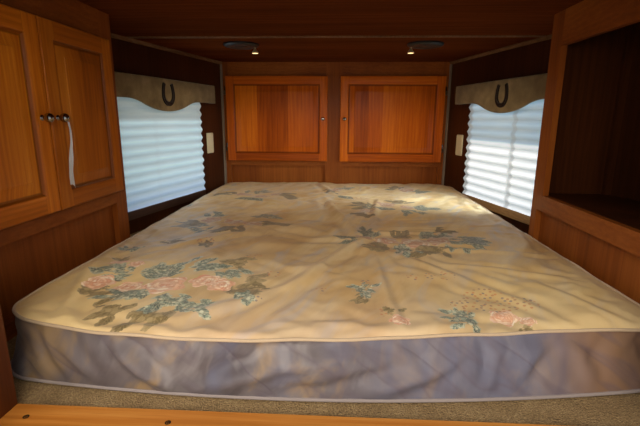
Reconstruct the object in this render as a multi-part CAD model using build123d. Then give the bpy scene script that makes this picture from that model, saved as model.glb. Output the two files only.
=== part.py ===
from build123d import *
import math
import os

os.makedirs("parts", exist_ok=True)

# The sleeping berth over the hitch of a gooseneck horse trailer, as one module, in millimetres.
# +X is to the right as seen from the rear doorway, +Y points to the nose and +Z up.
# The origin is under the middle of the deck, on the surface that the deck stands on.

# Mattress, which the room is built round
MATTRESS_WIDTH = 1372
MATTRESS_LENGTH = 1905
MATTRESS = 118
MATTRESS_R = 110
MATTRESS_BOW = 62        # near edge's middle in front of its ends
MATTRESS_TO_CUBBY = 9    # it lies nearer to the cubby than to the wardrobe
MATTRESS_TO_FRAME = 26   # mattress to the front cabinet's face
FOOT_SPACE = 65          # bulkhead to mattress
SIDE_SPACE = 34          # faces of the wardrobe and the cubby past a mattress in the middle

# Room and shell
CABINET_DEPTH = 310      # wardrobe and cubby faces to the straight walls
FACE_BACK = 355          # nose skin to the front cabinet's face
TAPER = 0.2346           # widening of each side for each millimetre towards the rear
WALL = 35                # side and nose walls, with skin, framing and panel
HEADROOM = 837           # carpet to ceiling
CORNER_R = 60            # outer radius of the two nose corners
POST_LENGTH = 75         # how far a corner post runs along each wall

# Deck and roof
RAIL_HEIGHT = 78         # deck frame
RAIL_INSET = 25          # deck frame inside the walls' inner face
REAR_RAIL = 60           # deck frame's rear member
BOARD = 18               # floor board over the frame
CARPET = 6
SKIN = 2.5               # sheet under the deck
SKIN_RECESS = 8          # sheet above the frame's underside, the depth of its pressed ribs
RIB_PITCH = 406
RIB_FOOT = 40
RIB_ROOT = 64
CEILING = 6
ROOF_EDGE = 42           # roof rail height
ROOF_RAIL = 45           # roof rail width
ROOF_RAIL_R = 30
CROWN = 18               # rise of the roof's middle

# Rear bulkhead with its doorway
BULKHEAD = 89
DOORWAY_LEFT = 519        # from the berth's middle
DOORWAY_RIGHT = 580
HEADER = 70
NOSING = 18
NOSING_R = 9

# Cabinets
FRAME = 19               # face frame thickness
FRONT_STILE = 30         # front frame that shows beside the doors
MULLION = 76             # front frame that shows between the doors
OVERLAY = 12             # door over the edge of its opening
SHELF = 16
PANEL = 6                # recessed lower panels
TOE_RAIL = 38            # bottom rail above the carpet
FRONT_DOOR_UP = 250      # front doors above the carpet
FRONT_DOOR_DOWN = 81     # front doors below the ceiling
FRONT_RAIL = 30          # rail that shows under the front doors
WARDROBE_LENGTH = 821    # along the wall, from the bulkhead
WARDROBE_DOOR = 325      # width of each wardrobe door
WARDROBE_DOOR_UP = 265
WARDROBE_DOOR_DOWN = 87
WARDROBE_STILE = 55      # wardrobe frame that shows beyond the far door
WARDROBE_RAIL = 44
CUBBY_LENGTH = 856
CUBBY_STILE = 70         # beside the opening
CUBBY_LOW_STILE = 38     # beside the recess under it
CUBBY_SHELF_UP = 262     # cubby's floor above the carpet
CUBBY_DOWN = 103         # cubby's opening below the ceiling
CUBBY_RAIL = 52
SIDE_STILE = 60
END_PANEL = 16
CORNER_BATTEN = 18

# Doors
DOOR = 19
DOOR_EDGE = 3            # bevel round the door's front
DOOR_STANDOFF = 5        # door to face frame
DOOR_MEET_GAP = 6
STILE = 52
STICKING = 5             # bevel round the inside of the door frame
PANEL_SINK = 8
PANEL_BEVEL = 34
PANEL_RISE = 7
KNOB_R = 12
KNOB_NECK_R = 5
KNOB_LENGTH = 30
KNOB_BANDS = 4           # straight bands that the ball is turned from
KNOB_IN = 27             # knob centre from the door's free edge
KNOB_UP = 507            # knobs above the carpet

# Hinges
PIN_R = 2.5
PIN_FIT = 0.05           # radial running clearance on the pin
KNUCKLE_R = 5.5
KNUCKLE = 24             # height of each knuckle
KNUCKLE_GAP = 0.3
LEAF = 1.5
LEAF_REACH = 10.5        # fixed leaf from the pin
AXIS_OUT = 7             # pin in front of the face frame
EDGE_GAP = 6.5           # pin to the door's edge
HINGE_INSET = 60         # hinge from the door's top or bottom

# Windows
WINDOW_BACK = 575        # front cabinet's face to the window's middle
WINDOW_LENGTH = 580
WINDOW_UP = 88           # window above the carpet
WINDOW_HEIGHT = 550
WINDOW_R = 50
WINDOW_FIT = 0.5
WINDOW_BAR = 14          # visible width of the frame round the glass
WINDOW_FLANGE = 28
FLANGE = 3
SASH_AT = -78            # sash bar from the window's middle, towards the nose
SASH_BAR = 22
GLASS = 4
GLASS_FIT = 0.3

# Pleated shades and valances
SHADE_PAST = 30          # shade past each end of the window
SHADE_OFF = 7            # shade's back from the wall
SHADE_DEPTH = 14
SHADE_CLOTH = 1.6
PLEATS = 11
SHADE_RAIL = 38
SHADE_UNDER = 20         # shade's bottom rail under the window
SHADE_FIT = 0.3
VALANCE_PAST = 120       # valance past each end of the shade
VALANCE_OVER = 50        # valance's top over the window
VALANCE_HEIGHT = 98
VALANCE_BOARD = 12
VALANCE_OFF = 40         # valance's face from the wall
SCALLOP_HALF = 275
SCALLOP_DROP = 52
SCALLOP_BULGE = 0.62     # share of the scallop's half length that is the bulge

# Small pieces
SHOE_DOWN = 74           # horseshoe's middle under the valance's top
SHOE_HALF_WIDTH = 48.5
SHOE_HALF_HEIGHT = 51
SHOE_HEEL = 37
SHOE_WEB = 20
SHOE = 8
LIGHT_X = 415
LIGHT_BACK = 610         # front cabinet's face to the ceiling lights
LIGHT_R = 80
LIGHT_DEPTH = 14
LAMP_IN = 63             # lamp from the light's middle, towards the berth's middle
LAMP_R = 12
LAMP_LENGTH = 26
LAMP_STEM_R = 5
PLATE_BACK = 160
PLATE_UP = 365
PLATE_WIDTH = 70
PLATE_HEIGHT = 118
PLATE = 6
COVE = 14                # trim between walls and ceiling
CORNER_TRIM = 11         # width of the upright corner strips
CORNER_TRIM_DEPTH = 8
SEAM_BACK = 790          # front cabinet's face to the joint between the ceiling panels
SEAM_WIDTH = 24
SEAM = 4

# Worked out from the values above
FACE_HALF = MATTRESS_WIDTH / 2        # inner half width at the front cabinet's face
SIDE_FACE = FACE_HALF + SIDE_SPACE    # wardrobe and cubby face from the middle
STRAIGHT_HALF = SIDE_FACE + CABINET_DEPTH
LENGTH = BULKHEAD + FOOT_SPACE + MATTRESS_LENGTH + MATTRESS_TO_FRAME + FACE_BACK
REAR = -LENGTH / 2
NOSE = LENGTH / 2
NOSE_IN = NOSE - WALL
FACE = NOSE - FACE_BACK
SLANT = math.hypot(1, TAPER)
BOARD_TOP = RAIL_HEIGHT + BOARD
FLOOR = BOARD_TOP + CARPET
CEILING_Z = FLOOR + HEADROOM
WALL_TOP = CEILING_Z + CEILING
BULKHEAD_FACE = REAR + BULKHEAD
WINDOW_Y = FACE - WINDOW_BACK
WINDOW_Z = FLOOR + WINDOW_UP
WINDOW_MIDDLE_Z = WINDOW_Z + WINDOW_HEIGHT / 2
SHADE_LENGTH = WINDOW_LENGTH + 2 * SHADE_PAST
SHADE_RAIL_Z = WINDOW_Z - SHADE_UNDER
SHADE_Z = SHADE_RAIL_Z + SHADE_RAIL
PLEAT = WINDOW_HEIGHT / PLEATS
VALANCE_LENGTH = SHADE_LENGTH + 2 * VALANCE_PAST
VALANCE_TOP = WINDOW_Z + WINDOW_HEIGHT + VALANCE_OVER
SHOE_Z = VALANCE_TOP - SHOE_DOWN
PLATE_Y = FACE - PLATE_BACK
PLATE_Z = FLOOR + PLATE_UP
LIGHT_Y = FACE - LIGHT_BACK
SEAM_Y = FACE - SEAM_BACK
FRONT_DOOR_OUT = FACE_HALF - FRONT_STILE
FRONT_DOOR_IN = MULLION / 2
FRONT_DOOR_Z = FLOOR + FRONT_DOOR_UP
FRONT_DOOR_HEIGHT = HEADROOM - FRONT_DOOR_UP - FRONT_DOOR_DOWN
FRONT_FLOOR_Z = FRONT_DOOR_Z + OVERLAY
WARDROBE_END = BULKHEAD_FACE + WARDROBE_LENGTH
WARDROBE_MEET = WARDROBE_END - WARDROBE_STILE - WARDROBE_DOOR - DOOR_MEET_GAP / 2
WARDROBE_DOOR_Z = FLOOR + WARDROBE_DOOR_UP
WARDROBE_DOOR_HEIGHT = HEADROOM - WARDROBE_DOOR_UP - WARDROBE_DOOR_DOWN
WARDROBE_FLOOR_Z = WARDROBE_DOOR_Z + OVERLAY
CUBBY_END = BULKHEAD_FACE + CUBBY_LENGTH
CUBBY_SHELF_Z = FLOOR + CUBBY_SHELF_UP
CUBBY_TOP = CEILING_Z - CUBBY_DOWN
KNOB_Z = FLOOR + KNOB_UP
DOOR_BACK = AXIS_OUT - DOOR_STANDOFF
DOOR_FRONT = DOOR_BACK - DOOR


def block(x0, x1, y0, y1, z0, z1):
    """A box between two corners."""
    return Pos((x0 + x1) / 2, (y0 + y1) / 2, (z0 + z1) / 2) * Box(x1 - x0, y1 - y0, z1 - z0)


def half_width(y, out=0):
    """Half the room's width at y, with the walls' inner faces moved outwards by out."""
    return min(STRAIGHT_HALF + out, FACE_HALF + TAPER * (FACE - y) + out * SLANT)


def bend_y(out=0):
    """Where the straight part of a side meets its tapered part."""
    return FACE + (FACE_HALF - STRAIGHT_HALF + out * (SLANT - 1)) / TAPER


def room(out, y0, y1, z0, z1):
    """The room's plan, moved outwards by out, as an upright prism."""
    ys = [y0, bend_y(out), y1] if y0 < bend_y(out) < y1 else [y0, y1]
    right = [(half_width(y, out), y) for y in ys]
    left = [(-x, y) for x, y in reversed(right)]
    face = make_face(Polyline(*right, *left, close=True))
    return extrude(Pos(0, 0, z0) * face, z1 - z0, dir=(0, 0, 1))


def round_nose(shape):
    """Rounds the two upright outer corners at the nose."""
    upright = shape.edges().filter_by(Axis.Z)
    corners = [e for e in upright if e.center().Y > NOSE - 1]
    return fillet(corners, CORNER_R)


def both_sides(shape):
    """A piece of the left side with its mirror image on the right."""
    return [shape, mirror(shape, about=Plane.YZ)]


def on_wall(y, shape):
    """Puts a shape on the left wall's inner face at y.

    Its own x runs along the wall towards the nose, its y is up, and its z points into the berth.
    """
    wall = Plane(origin=(-half_width(y), y, 0), x_dir=(TAPER, 1, 0), z_dir=(1, -TAPER, 0))
    return wall * shape


def save(name, *solids):
    """Writes a node, as one solid or as several that stay apart."""
    shape = solids[0] if len(solids) == 1 else Compound(list(solids))
    export_step(shape, f"parts/{name}.step")


# Deck

def deck_frame():
    """Aluminium frame round the deck."""
    outer = round_nose(room(WALL, REAR, NOSE, 0, RAIL_HEIGHT))
    return outer - room(-RAIL_INSET, REAR + REAR_RAIL, NOSE_IN - RAIL_INSET, 0, RAIL_HEIGHT)


def deck_board():
    """Sandwich floor: a core inside the frame, and the board that lies over both."""
    core = room(-RAIL_INSET, REAR + REAR_RAIL, NOSE_IN - RAIL_INSET, SKIN_RECESS + SKIN, RAIL_HEIGHT)
    return core + room(0, REAR, NOSE_IN, RAIL_HEIGHT, BOARD_TOP)


def underside_skin():
    """Sheet under the deck with pressed ribs across it."""
    front = NOSE_IN - RAIL_INSET
    rear = REAR + REAR_RAIL
    sheet = room(-RAIL_INSET, rear, front, SKIN_RECESS, SKIN_RECESS + SKIN)
    ribs = int((front - rear - RIB_PITCH / 2) // RIB_PITCH) + 1
    start = (front + rear) / 2 - RIB_PITCH * (ribs - 1) / 2
    for k in range(ribs):
        y = start + k * RIB_PITCH
        half = half_width(y + RIB_ROOT / 2, -RAIL_INSET)
        section = make_face(Polyline(
            (y - RIB_FOOT / 2, 0), (y + RIB_FOOT / 2, 0),
            (y + RIB_ROOT / 2, SKIN_RECESS), (y - RIB_ROOT / 2, SKIN_RECESS), close=True))
        sheet += extrude(Plane.YZ * section, half, both=True)
    return sheet


def carpet():
    """Carpet between the bulkhead, the cabinets and the walls."""
    cloth = room(0, BULKHEAD_FACE, FACE, BOARD_TOP, FLOOR)
    cloth -= block(-STRAIGHT_HALF, -SIDE_FACE, REAR, WARDROBE_END, BOARD_TOP, FLOOR)
    return cloth - block(SIDE_FACE, STRAIGHT_HALF, REAR, CUBBY_END, BOARD_TOP, FLOOR)


def deck_nosing():
    """Wooden sill in the doorway, rounded over the deck's rear edge."""
    sill = block(-DOORWAY_LEFT, DOORWAY_RIGHT, REAR, BULKHEAD_FACE, BOARD_TOP, BOARD_TOP + NOSING)
    edge = sill.faces().sort_by(Axis.Y)[0].edges().sort_by(Axis.Z)[-1]
    return fillet(edge, NOSING_R)


# Shell

def wall_ring():
    """The two side walls and the nose wall in one, to be split where the posts meet them."""
    outer = round_nose(room(WALL, REAR, NOSE, RAIL_HEIGHT, WALL_TOP))
    return outer - room(0, REAR, NOSE_IN, RAIL_HEIGHT, WALL_TOP)


def window_opening():
    """The hole for the window in the left wall."""
    hole = extrude(RectangleRounded(WINDOW_LENGTH, WINDOW_HEIGHT, WINDOW_R), 3 * WALL)
    return on_wall(WINDOW_Y, Pos(0, WINDOW_MIDDLE_Z, -2 * WALL) * hole)


def shell():
    """Left wall, right wall, nose wall and the two corner posts."""
    ring = wall_ring()
    post_y = NOSE - POST_LENGTH
    post_x = half_width(NOSE, WALL) - POST_LENGTH
    wide = WALL + STRAIGHT_HALF
    left = ring & block(-wide, 0, REAR, post_y, RAIL_HEIGHT, WALL_TOP)
    left -= window_opening()
    nose = ring & block(-post_x, post_x, post_y, NOSE, RAIL_HEIGHT, WALL_TOP)
    post = ring & block(-wide, -post_x, post_y, NOSE, RAIL_HEIGHT, WALL_TOP)
    return left, mirror(left, about=Plane.YZ), nose, both_sides(post)


def roof_rail():
    """Rail round the top of the walls, open at the rear, with a rounded outer edge."""
    rail = round_nose(room(WALL, REAR, NOSE, WALL_TOP, WALL_TOP + ROOF_EDGE))
    top = rail.faces().sort_by(Axis.Z)[-1].edges()
    rail = fillet([e for e in top if e.center().Y > REAR + 1], ROOF_RAIL_R)
    return rail - room(WALL - ROOF_RAIL, REAR, NOSE - ROOF_RAIL, WALL_TOP, WALL_TOP + ROOF_EDGE)


def roof():
    """Crowned roof between the rails."""
    half = STRAIGHT_HALF + WALL - ROOF_RAIL
    edge = WALL_TOP + ROOF_EDGE
    arc = ThreePointArc((-half, edge), (0, edge + CROWN), (half, edge))
    sides = Polyline((half, edge), (half, WALL_TOP), (-half, WALL_TOP), (-half, edge))
    slab = extrude(Plane.XZ * make_face(arc + sides), LENGTH, both=True)
    plan = room(WALL - ROOF_RAIL, REAR, NOSE - ROOF_RAIL, WALL_TOP, edge + CROWN)
    return slab & plan


def ceiling(y0, y1):
    """A ceiling panel between the walls."""
    return room(0, y0, y1, CEILING_Z, WALL_TOP)


def cove_trim(end):
    """Trim in the corner of the left wall and the ceiling, from a cabinet's end to the front frame."""
    section = make_face(Polyline(
        (0, 0), (0, COVE), (-COVE / 3, COVE), (-COVE, COVE / 3), (-COVE, 0), close=True))
    strip = extrude(Plane.YZ * section, FACE - end, both=True)
    placed = on_wall((FACE + end) / 2, Pos(0, CEILING_Z, 0) * strip)
    return placed & block(-STRAIGHT_HALF, 0, end, FACE, FLOOR, CEILING_Z)


def corner_trim():
    """Upright strip where the left wall meets the front frame."""
    half = half_width(FACE)
    y0 = FACE - CORNER_TRIM_DEPTH
    strip = room(0, y0, FACE, FLOOR, CEILING_Z - COVE)
    strip -= room(-CORNER_TRIM, y0, FACE, FLOOR, CEILING_Z - COVE)
    return strip & block(-half - CORNER_TRIM, 0, y0, FACE, FLOOR, CEILING_Z)


def seam_strip():
    """Flat strip over the joint between the ceiling panels."""
    half = half_width(SEAM_Y) - COVE * SLANT - SEAM_WIDTH * TAPER
    y0 = SEAM_Y - SEAM_WIDTH / 2
    return block(-half, half, y0, y0 + SEAM_WIDTH, CEILING_Z - SEAM, CEILING_Z)


def bulkhead_side(x0, x1):
    """The rear bulkhead beside the doorway."""
    return block(x0, x1, REAR, BULKHEAD_FACE, BOARD_TOP, WALL_TOP)


def bulkhead_header():
    """Bulkhead over the doorway."""
    return block(-DOORWAY_LEFT, DOORWAY_RIGHT, REAR, BULKHEAD_FACE, WALL_TOP - HEADER, WALL_TOP)


# Cabinets

def front_frame():
    """Face frame across the nose: two door openings over two recesses."""
    frame = room(0, FACE, FACE + FRAME, BOARD_TOP, CEILING_Z)
    low = FLOOR + TOE_RAIL
    recess_top = FRONT_DOOR_Z - FRONT_RAIL
    door_top = FRONT_DOOR_Z + FRONT_DOOR_HEIGHT - OVERLAY
    for side in (-1, 1):
        x0, x1 = sorted((side * (FRONT_DOOR_IN + OVERLAY), side * (FRONT_DOOR_OUT - OVERLAY)))
        frame -= block(x0, x1, FACE, FACE + FRAME, FRONT_FLOOR_Z, door_top)
        frame -= block(x0, x1, FACE, FACE + FRAME, low, recess_top)
    return frame


def front_shelf():
    """Floor of the front cabinet."""
    return room(0, FACE + FRAME, NOSE_IN, FRONT_FLOOR_Z - SHELF, FRONT_FLOOR_Z)


def side_frame(end, stile, low_stile, low, rail_top, rail, opening_top, near_stile):
    """Face frame along the left side, with one opening over one recess."""
    frame = block(-SIDE_FACE - FRAME, -SIDE_FACE, BULKHEAD_FACE, end, BOARD_TOP, CEILING_Z)
    y0 = BULKHEAD_FACE + near_stile
    y1 = end - stile
    x0 = -SIDE_FACE - FRAME
    frame -= block(x0, -SIDE_FACE, y0, y1, rail_top, opening_top)
    return frame - block(x0, -SIDE_FACE, BULKHEAD_FACE + SIDE_STILE, end - low_stile, low, rail_top - rail)


def side_carcass(end, floor_z, batten):
    """End panel and floor behind a side frame, with a batten in the far corner if it is wanted."""
    behind = room(0, BULKHEAD_FACE, end, BOARD_TOP, CEILING_Z)
    x1 = -SIDE_FACE - FRAME
    body = block(-STRAIGHT_HALF, x1, end - END_PANEL, end, BOARD_TOP, CEILING_Z)
    body += block(-STRAIGHT_HALF, x1, BULKHEAD_FACE, end, floor_z - SHELF, floor_z)
    if batten:
        corner = half_width(end - END_PANEL)
        y0 = end - END_PANEL - CORNER_BATTEN
        body += block(-corner - CORNER_BATTEN, -corner + CORNER_BATTEN, y0, end, floor_z, CEILING_Z)
    return body & behind


def side_lower_panel(end, floor_z):
    """Thin panel behind the recess of a side frame."""
    x1 = -SIDE_FACE - FRAME
    return block(x1 - PANEL, x1, BULKHEAD_FACE, end - END_PANEL, BOARD_TOP, floor_z - SHELF)


def front_lower_panel():
    """Thin panel behind the recesses of the front frame."""
    return room(0, FACE + FRAME, FACE + FRAME + PANEL, BOARD_TOP, FRONT_FLOOR_Z - SHELF)


# Doors. Each is drawn closed, with its hinge pin on the origin: the door runs along +X,
# its front faces -Y and z is height in the berth.

def door_panel(width, z0, height):
    """Frame-and-panel door with a bevelled, raised middle."""
    slab = block(EDGE_GAP, EDGE_GAP + width, DOOR_FRONT, DOOR_BACK, z0, z0 + height)
    slab = chamfer(slab.faces().sort_by(Axis.Y)[0].edges(), DOOR_EDGE)
    middle = (EDGE_GAP + width / 2, z0 + height / 2)
    wide = width - 2 * STILE
    tall = height - 2 * STILE

    def rectangle(depth, grow):
        plane = Plane(origin=(middle[0], DOOR_FRONT + depth, middle[1]), x_dir=(1, 0, 0), z_dir=(0, -1, 0))
        return plane * Rectangle(wide + 2 * grow, tall + 2 * grow)

    slab -= loft([rectangle(STICKING, 0), rectangle(0, STICKING)], ruled=True)
    slab -= extrude(rectangle(PANEL_SINK, 0), PANEL_SINK)
    raised = loft([rectangle(PANEL_SINK, 0), rectangle(PANEL_SINK - PANEL_RISE, -PANEL_BEVEL)], ruled=True)
    return slab + raised


def knob(x):
    """Ball knob on a short neck, turned round an axis that leaves the door's front."""
    start = math.asin(KNOB_NECK_R / KNOB_R)
    step = (math.pi - 2 * start) / KNOB_BANDS
    angles = [start + k * step for k in range(KNOB_BANDS + 1)]
    ball = [(KNOB_R * math.sin(a), KNOB_LENGTH - KNOB_R - KNOB_R * math.cos(a)) for a in angles]
    profile = Polyline((0, 0), (KNOB_NECK_R, 0), *ball, (0, KNOB_LENGTH), close=True)
    return Pos(x, DOOR_FRONT, KNOB_Z) * Rot(180, 0, 0) * revolve(make_face(profile), Axis.Y)


def hinge_levels(z0, height):
    """Bottoms of a door's two hinges."""
    return [z0 + HINGE_INSET, z0 + height - HINGE_INSET - 2 * KNUCKLE]


def moving_hinge(z):
    """Upper knuckle, with its leaf on the door's edge."""
    bottom = z + KNUCKLE + KNUCKLE_GAP
    top = bottom + KNUCKLE
    leaf = block(EDGE_GAP - LEAF, EDGE_GAP, DOOR_FRONT + DOOR_EDGE, 0, bottom, top)
    barrel = Pos(0, 0, (bottom + top) / 2) * Cylinder(KNUCKLE_R, KNUCKLE)
    bore = Pos(0, 0, (bottom + top) / 2) * Cylinder(PIN_R + PIN_FIT, KNUCKLE)
    return leaf + barrel - bore


def fixed_hinge(z):
    """Lower knuckle with the pin, and its leaf on the face frame."""
    barrel = Pos(0, 0, z + KNUCKLE / 2) * Cylinder(KNUCKLE_R, KNUCKLE)
    pin = Pos(0, 0, z + KNUCKLE) * Cylinder(PIN_R, 2 * KNUCKLE)
    web = block(-KNUCKLE_R, -KNUCKLE_R + LEAF, 0, AXIS_OUT, z, z + KNUCKLE)
    leaf = block(-LEAF_REACH, -KNUCKLE_R + LEAF, AXIS_OUT - LEAF, AXIS_OUT, z, z + KNUCKLE)
    return barrel + pin + web + leaf


FRONT_PIN_X = FRONT_DOOR_OUT + EDGE_GAP
FRONT_PIN_Y = FACE - AXIS_OUT
SIDE_PIN_X = -SIDE_FACE + AXIS_OUT
DOOR_REACH = DOOR_MEET_GAP / 2 + WARDROBE_DOOR + EDGE_GAP
FRONT_WIDTH = FRONT_DOOR_OUT - FRONT_DOOR_IN

# Doors: name, cabinet, mirrored, turned by degrees, pin x, pin y, width, bottom, height
DOORS = [
    ("front", "left", False, 0, -FRONT_PIN_X, FRONT_PIN_Y, FRONT_WIDTH, FRONT_DOOR_Z, FRONT_DOOR_HEIGHT),
    ("front", "right", True, 0, FRONT_PIN_X, FRONT_PIN_Y, FRONT_WIDTH, FRONT_DOOR_Z, FRONT_DOOR_HEIGHT),
    ("wardrobe", "near", False, 90, SIDE_PIN_X, WARDROBE_MEET - DOOR_REACH, WARDROBE_DOOR,
     WARDROBE_DOOR_Z, WARDROBE_DOOR_HEIGHT),
    ("wardrobe", "far", True, 90, SIDE_PIN_X, WARDROBE_MEET + DOOR_REACH, WARDROBE_DOOR,
     WARDROBE_DOOR_Z, WARDROBE_DOOR_HEIGHT),
]


def doors():
    """Writes every door with its fittings, and the fixed halves of all hinges."""
    fixed = []
    for cabinet, name, mirrored, turn, pin_x, pin_y, width, z0, height in DOORS:
        def place(shape):
            if mirrored:
                shape = mirror(shape, about=Plane.YZ)
            return Pos(pin_x, pin_y, 0) * Rot(0, 0, turn) * shape

        levels = hinge_levels(z0, height)
        handle = knob(EDGE_GAP + width - KNOB_IN)
        save(f"{cabinet}_door_{name}", place(door_panel(width, z0, height)))
        save(f"{cabinet}_fittings_{name}", *[place(s) for s in (handle, *map(moving_hinge, levels))])
        fixed += [place(fixed_hinge(z)) for z in levels]
    save("hinge_pins", *fixed)


# Windows, shades and valances of the left side. Their own x runs along the wall towards the nose,
# y is height and z is the distance from the wall's inner face into the berth.

def ring_plate(inner_x, inner_y, inner_r, width, z0, z1):
    """A rounded rectangular ring of the given width round an opening."""
    outer = RectangleRounded(inner_x + 2 * width, inner_y + 2 * width, inner_r + width)
    plate = outer - RectangleRounded(inner_x, inner_y, inner_r)
    return Pos(0, WINDOW_MIDDLE_Z, z0) * extrude(plate, z1 - z0)


def window_frame():
    """Aluminium frame through the wall, clamped by a flange on each face, with its sash bar."""
    bar = WINDOW_BAR
    open_x = WINDOW_LENGTH - 2 * bar
    open_y = WINDOW_HEIGHT - 2 * bar
    open_r = WINDOW_R - bar
    frame = ring_plate(open_x, open_y, open_r, bar - WINDOW_FIT, -WALL - FLANGE, FLANGE)
    frame += ring_plate(open_x, open_y, open_r, bar + WINDOW_FLANGE, -WALL - FLANGE, -WALL)
    frame += ring_plate(open_x, open_y, open_r, bar + WINDOW_FLANGE / 2, 0, FLANGE)
    low = WINDOW_Z + bar
    frame += block(SASH_AT - SASH_BAR / 2, SASH_AT + SASH_BAR / 2, low, low + open_y, -WALL, -WALL / 2)
    return frame


def window_panes():
    """Fixed and sliding panes, either side of the sash bar."""
    open_x = WINDOW_LENGTH - 2 * WINDOW_BAR - 2 * GLASS_FIT
    open_y = WINDOW_HEIGHT - 2 * WINDOW_BAR - 2 * GLASS_FIT
    sheet = extrude(RectangleRounded(open_x, open_y, WINDOW_R - WINDOW_BAR - GLASS_FIT), GLASS)
    sheet = Pos(0, WINDOW_MIDDLE_Z, -WALL + GLASS) * sheet
    edge = SASH_BAR / 2 + GLASS_FIT
    nose_side = sheet & block(SASH_AT + edge, open_x, 0, CEILING_Z, -WALL, 0)
    rear_side = sheet & block(-open_x, SASH_AT - edge, 0, CEILING_Z, -WALL, 0)
    return nose_side, rear_side


def shade():
    """Pleated cloth: one zigzag section drawn along the window."""
    middle = SHADE_OFF + SHADE_DEPTH / 2
    swing = (SHADE_DEPTH - SHADE_CLOTH) / 2
    low = SHADE_Z + SHADE_FIT
    folds = [(low + k * PLEAT / 2, middle + swing * (-1) ** k) for k in range(2 * PLEATS + 1)]
    front = [(z, off + SHADE_CLOTH / 2) for z, off in folds]
    back = [(z, off - SHADE_CLOTH / 2) for z, off in reversed(folds)]
    section = make_face(Polyline(*front, *back, close=True))
    return extrude(Plane.YZ * section, SHADE_LENGTH / 2, both=True)


def shade_rails():
    """Bottom rail and head rail of a shade."""
    half = SHADE_LENGTH / 2
    top = SHADE_Z + PLEATS * PLEAT + 2 * SHADE_FIT
    bottom_rail = block(-half, half, SHADE_RAIL_Z, SHADE_Z, FLANGE + SHADE_FIT, SHADE_OFF + SHADE_DEPTH)
    head_rail = block(-half, half, top, VALANCE_TOP - VALANCE_BOARD, FLANGE + SHADE_FIT,
                      SHADE_OFF + SHADE_DEPTH)
    return bottom_rail, head_rail


def valance_outline():
    """Valance face: straight ends, and a scallop of two arcs a side that meet without a corner."""
    half = VALANCE_LENGTH / 2
    low = VALANCE_TOP - VALANCE_HEIGHT
    slope = 2 * math.atan2(SCALLOP_DROP, SCALLOP_HALF)
    bulge_r = SCALLOP_BULGE * SCALLOP_HALF / math.sin(slope)
    blend_r = (1 - SCALLOP_BULGE) * SCALLOP_HALF / math.sin(slope)
    bottom = low - SCALLOP_DROP

    def bulge(a):
        return bulge_r * math.sin(a), bottom + bulge_r * (1 - math.cos(a))

    def blend(a):
        return SCALLOP_HALF - blend_r * math.sin(a), low - blend_r * (1 - math.cos(a))

    right = ThreePointArc(blend(0), blend(slope / 2), blend(slope))
    left = mirror(right, about=Plane.YZ)
    middle = ThreePointArc(bulge(-slope), bulge(0), bulge(slope))
    rest = Polyline((SCALLOP_HALF, low), (half, low), (half, VALANCE_TOP), (-half, VALANCE_TOP),
                    (-half, low), (-SCALLOP_HALF, low))
    return make_face(right + middle + left + rest)


def valance():
    """Box valance: scalloped face, two returns and a top."""
    half = VALANCE_LENGTH / 2
    low = VALANCE_TOP - VALANCE_HEIGHT
    inner = VALANCE_OFF - VALANCE_BOARD
    body = Pos(0, 0, inner) * extrude(valance_outline(), VALANCE_BOARD)
    for side in (-1, 1):
        x0, x1 = sorted((side * half, side * (half - VALANCE_BOARD)))
        body += block(x0, x1, low, VALANCE_TOP, 0, inner)
    return body + block(-half, half, VALANCE_TOP - VALANCE_BOARD, VALANCE_TOP, 0, inner)


def horseshoe():
    """Iron horseshoe on the valance, heels up."""
    w, h, heel, web = SHOE_HALF_WIDTH, SHOE_HALF_HEIGHT, SHOE_HEEL, SHOE_WEB
    side = w - h
    outer = ThreePointArc((w, side), (0, -h), (-w, side))
    inner = ThreePointArc((web - w, side), (0, web - h), (w - web, side))
    left = Polyline((-w, side), (-heel, h), (web * 0.8 - heel, h), (web - w, side))
    right = Polyline((w - web, side), (heel - web * 0.8, h), (heel, h), (w, side))
    face = make_face(outer + left + inner + right)
    return Pos(0, SHOE_Z, VALANCE_OFF) * extrude(face, SHOE)


def wall_plate():
    """Blank plate over a wall box."""
    plate = Pos(0, PLATE_Z, PLATE / 2) * Box(PLATE_WIDTH, PLATE_HEIGHT, PLATE)
    return chamfer(plate.faces().sort_by(Axis.Z)[-1].edges(), PLATE / 2)


# Ceiling lights

def ceiling_light():
    """Round base of the left ceiling light."""
    rim = LIGHT_DEPTH / 2
    profile = Polyline((0, 0), (LIGHT_R, 0), (LIGHT_R, -rim), (LIGHT_R - rim, -LIGHT_DEPTH), (0, -LIGHT_DEPTH),
                       close=True)
    turned = revolve(Plane.XZ * make_face(profile), Axis.Z)
    return Pos(-LIGHT_X, LIGHT_Y, CEILING_Z) * turned


def lamp_head():
    """Small lamp under the inner side of the light's base."""
    stem = LAMP_LENGTH / 4
    profile = Polyline((0, 0), (LAMP_STEM_R, 0), (LAMP_STEM_R, -stem), (LAMP_R, -2 * stem),
                       (LAMP_R, -LAMP_LENGTH), (0, -LAMP_LENGTH), close=True)
    turned = revolve(Plane.XZ * make_face(profile), Axis.Z)
    return Pos(LAMP_IN - LIGHT_X, LIGHT_Y, CEILING_Z - LIGHT_DEPTH) * turned


def mattress():
    """Full-size mattress on the carpet, its near edge bowed and its corners rounded."""
    far = FACE - MATTRESS_TO_FRAME
    near = far - MATTRESS_LENGTH
    right = SIDE_FACE - MATTRESS_TO_CUBBY
    left = right - MATTRESS_WIDTH
    ends = near + MATTRESS_BOW
    sides = Polyline((right, ends), (right, far), (left, far), (left, ends))
    bow = ThreePointArc((left, ends), ((left + right) / 2, near), (right, ends))
    slab = extrude(Pos(0, 0, FLOOR) * make_face(sides + bow), MATTRESS, dir=(0, 0, 1))
    return fillet(slab.edges().filter_by(Axis.Z), MATTRESS_R)


def right_side(shape):
    """The mirror image of a left piece."""
    return mirror(shape, about=Plane.YZ)


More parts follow.
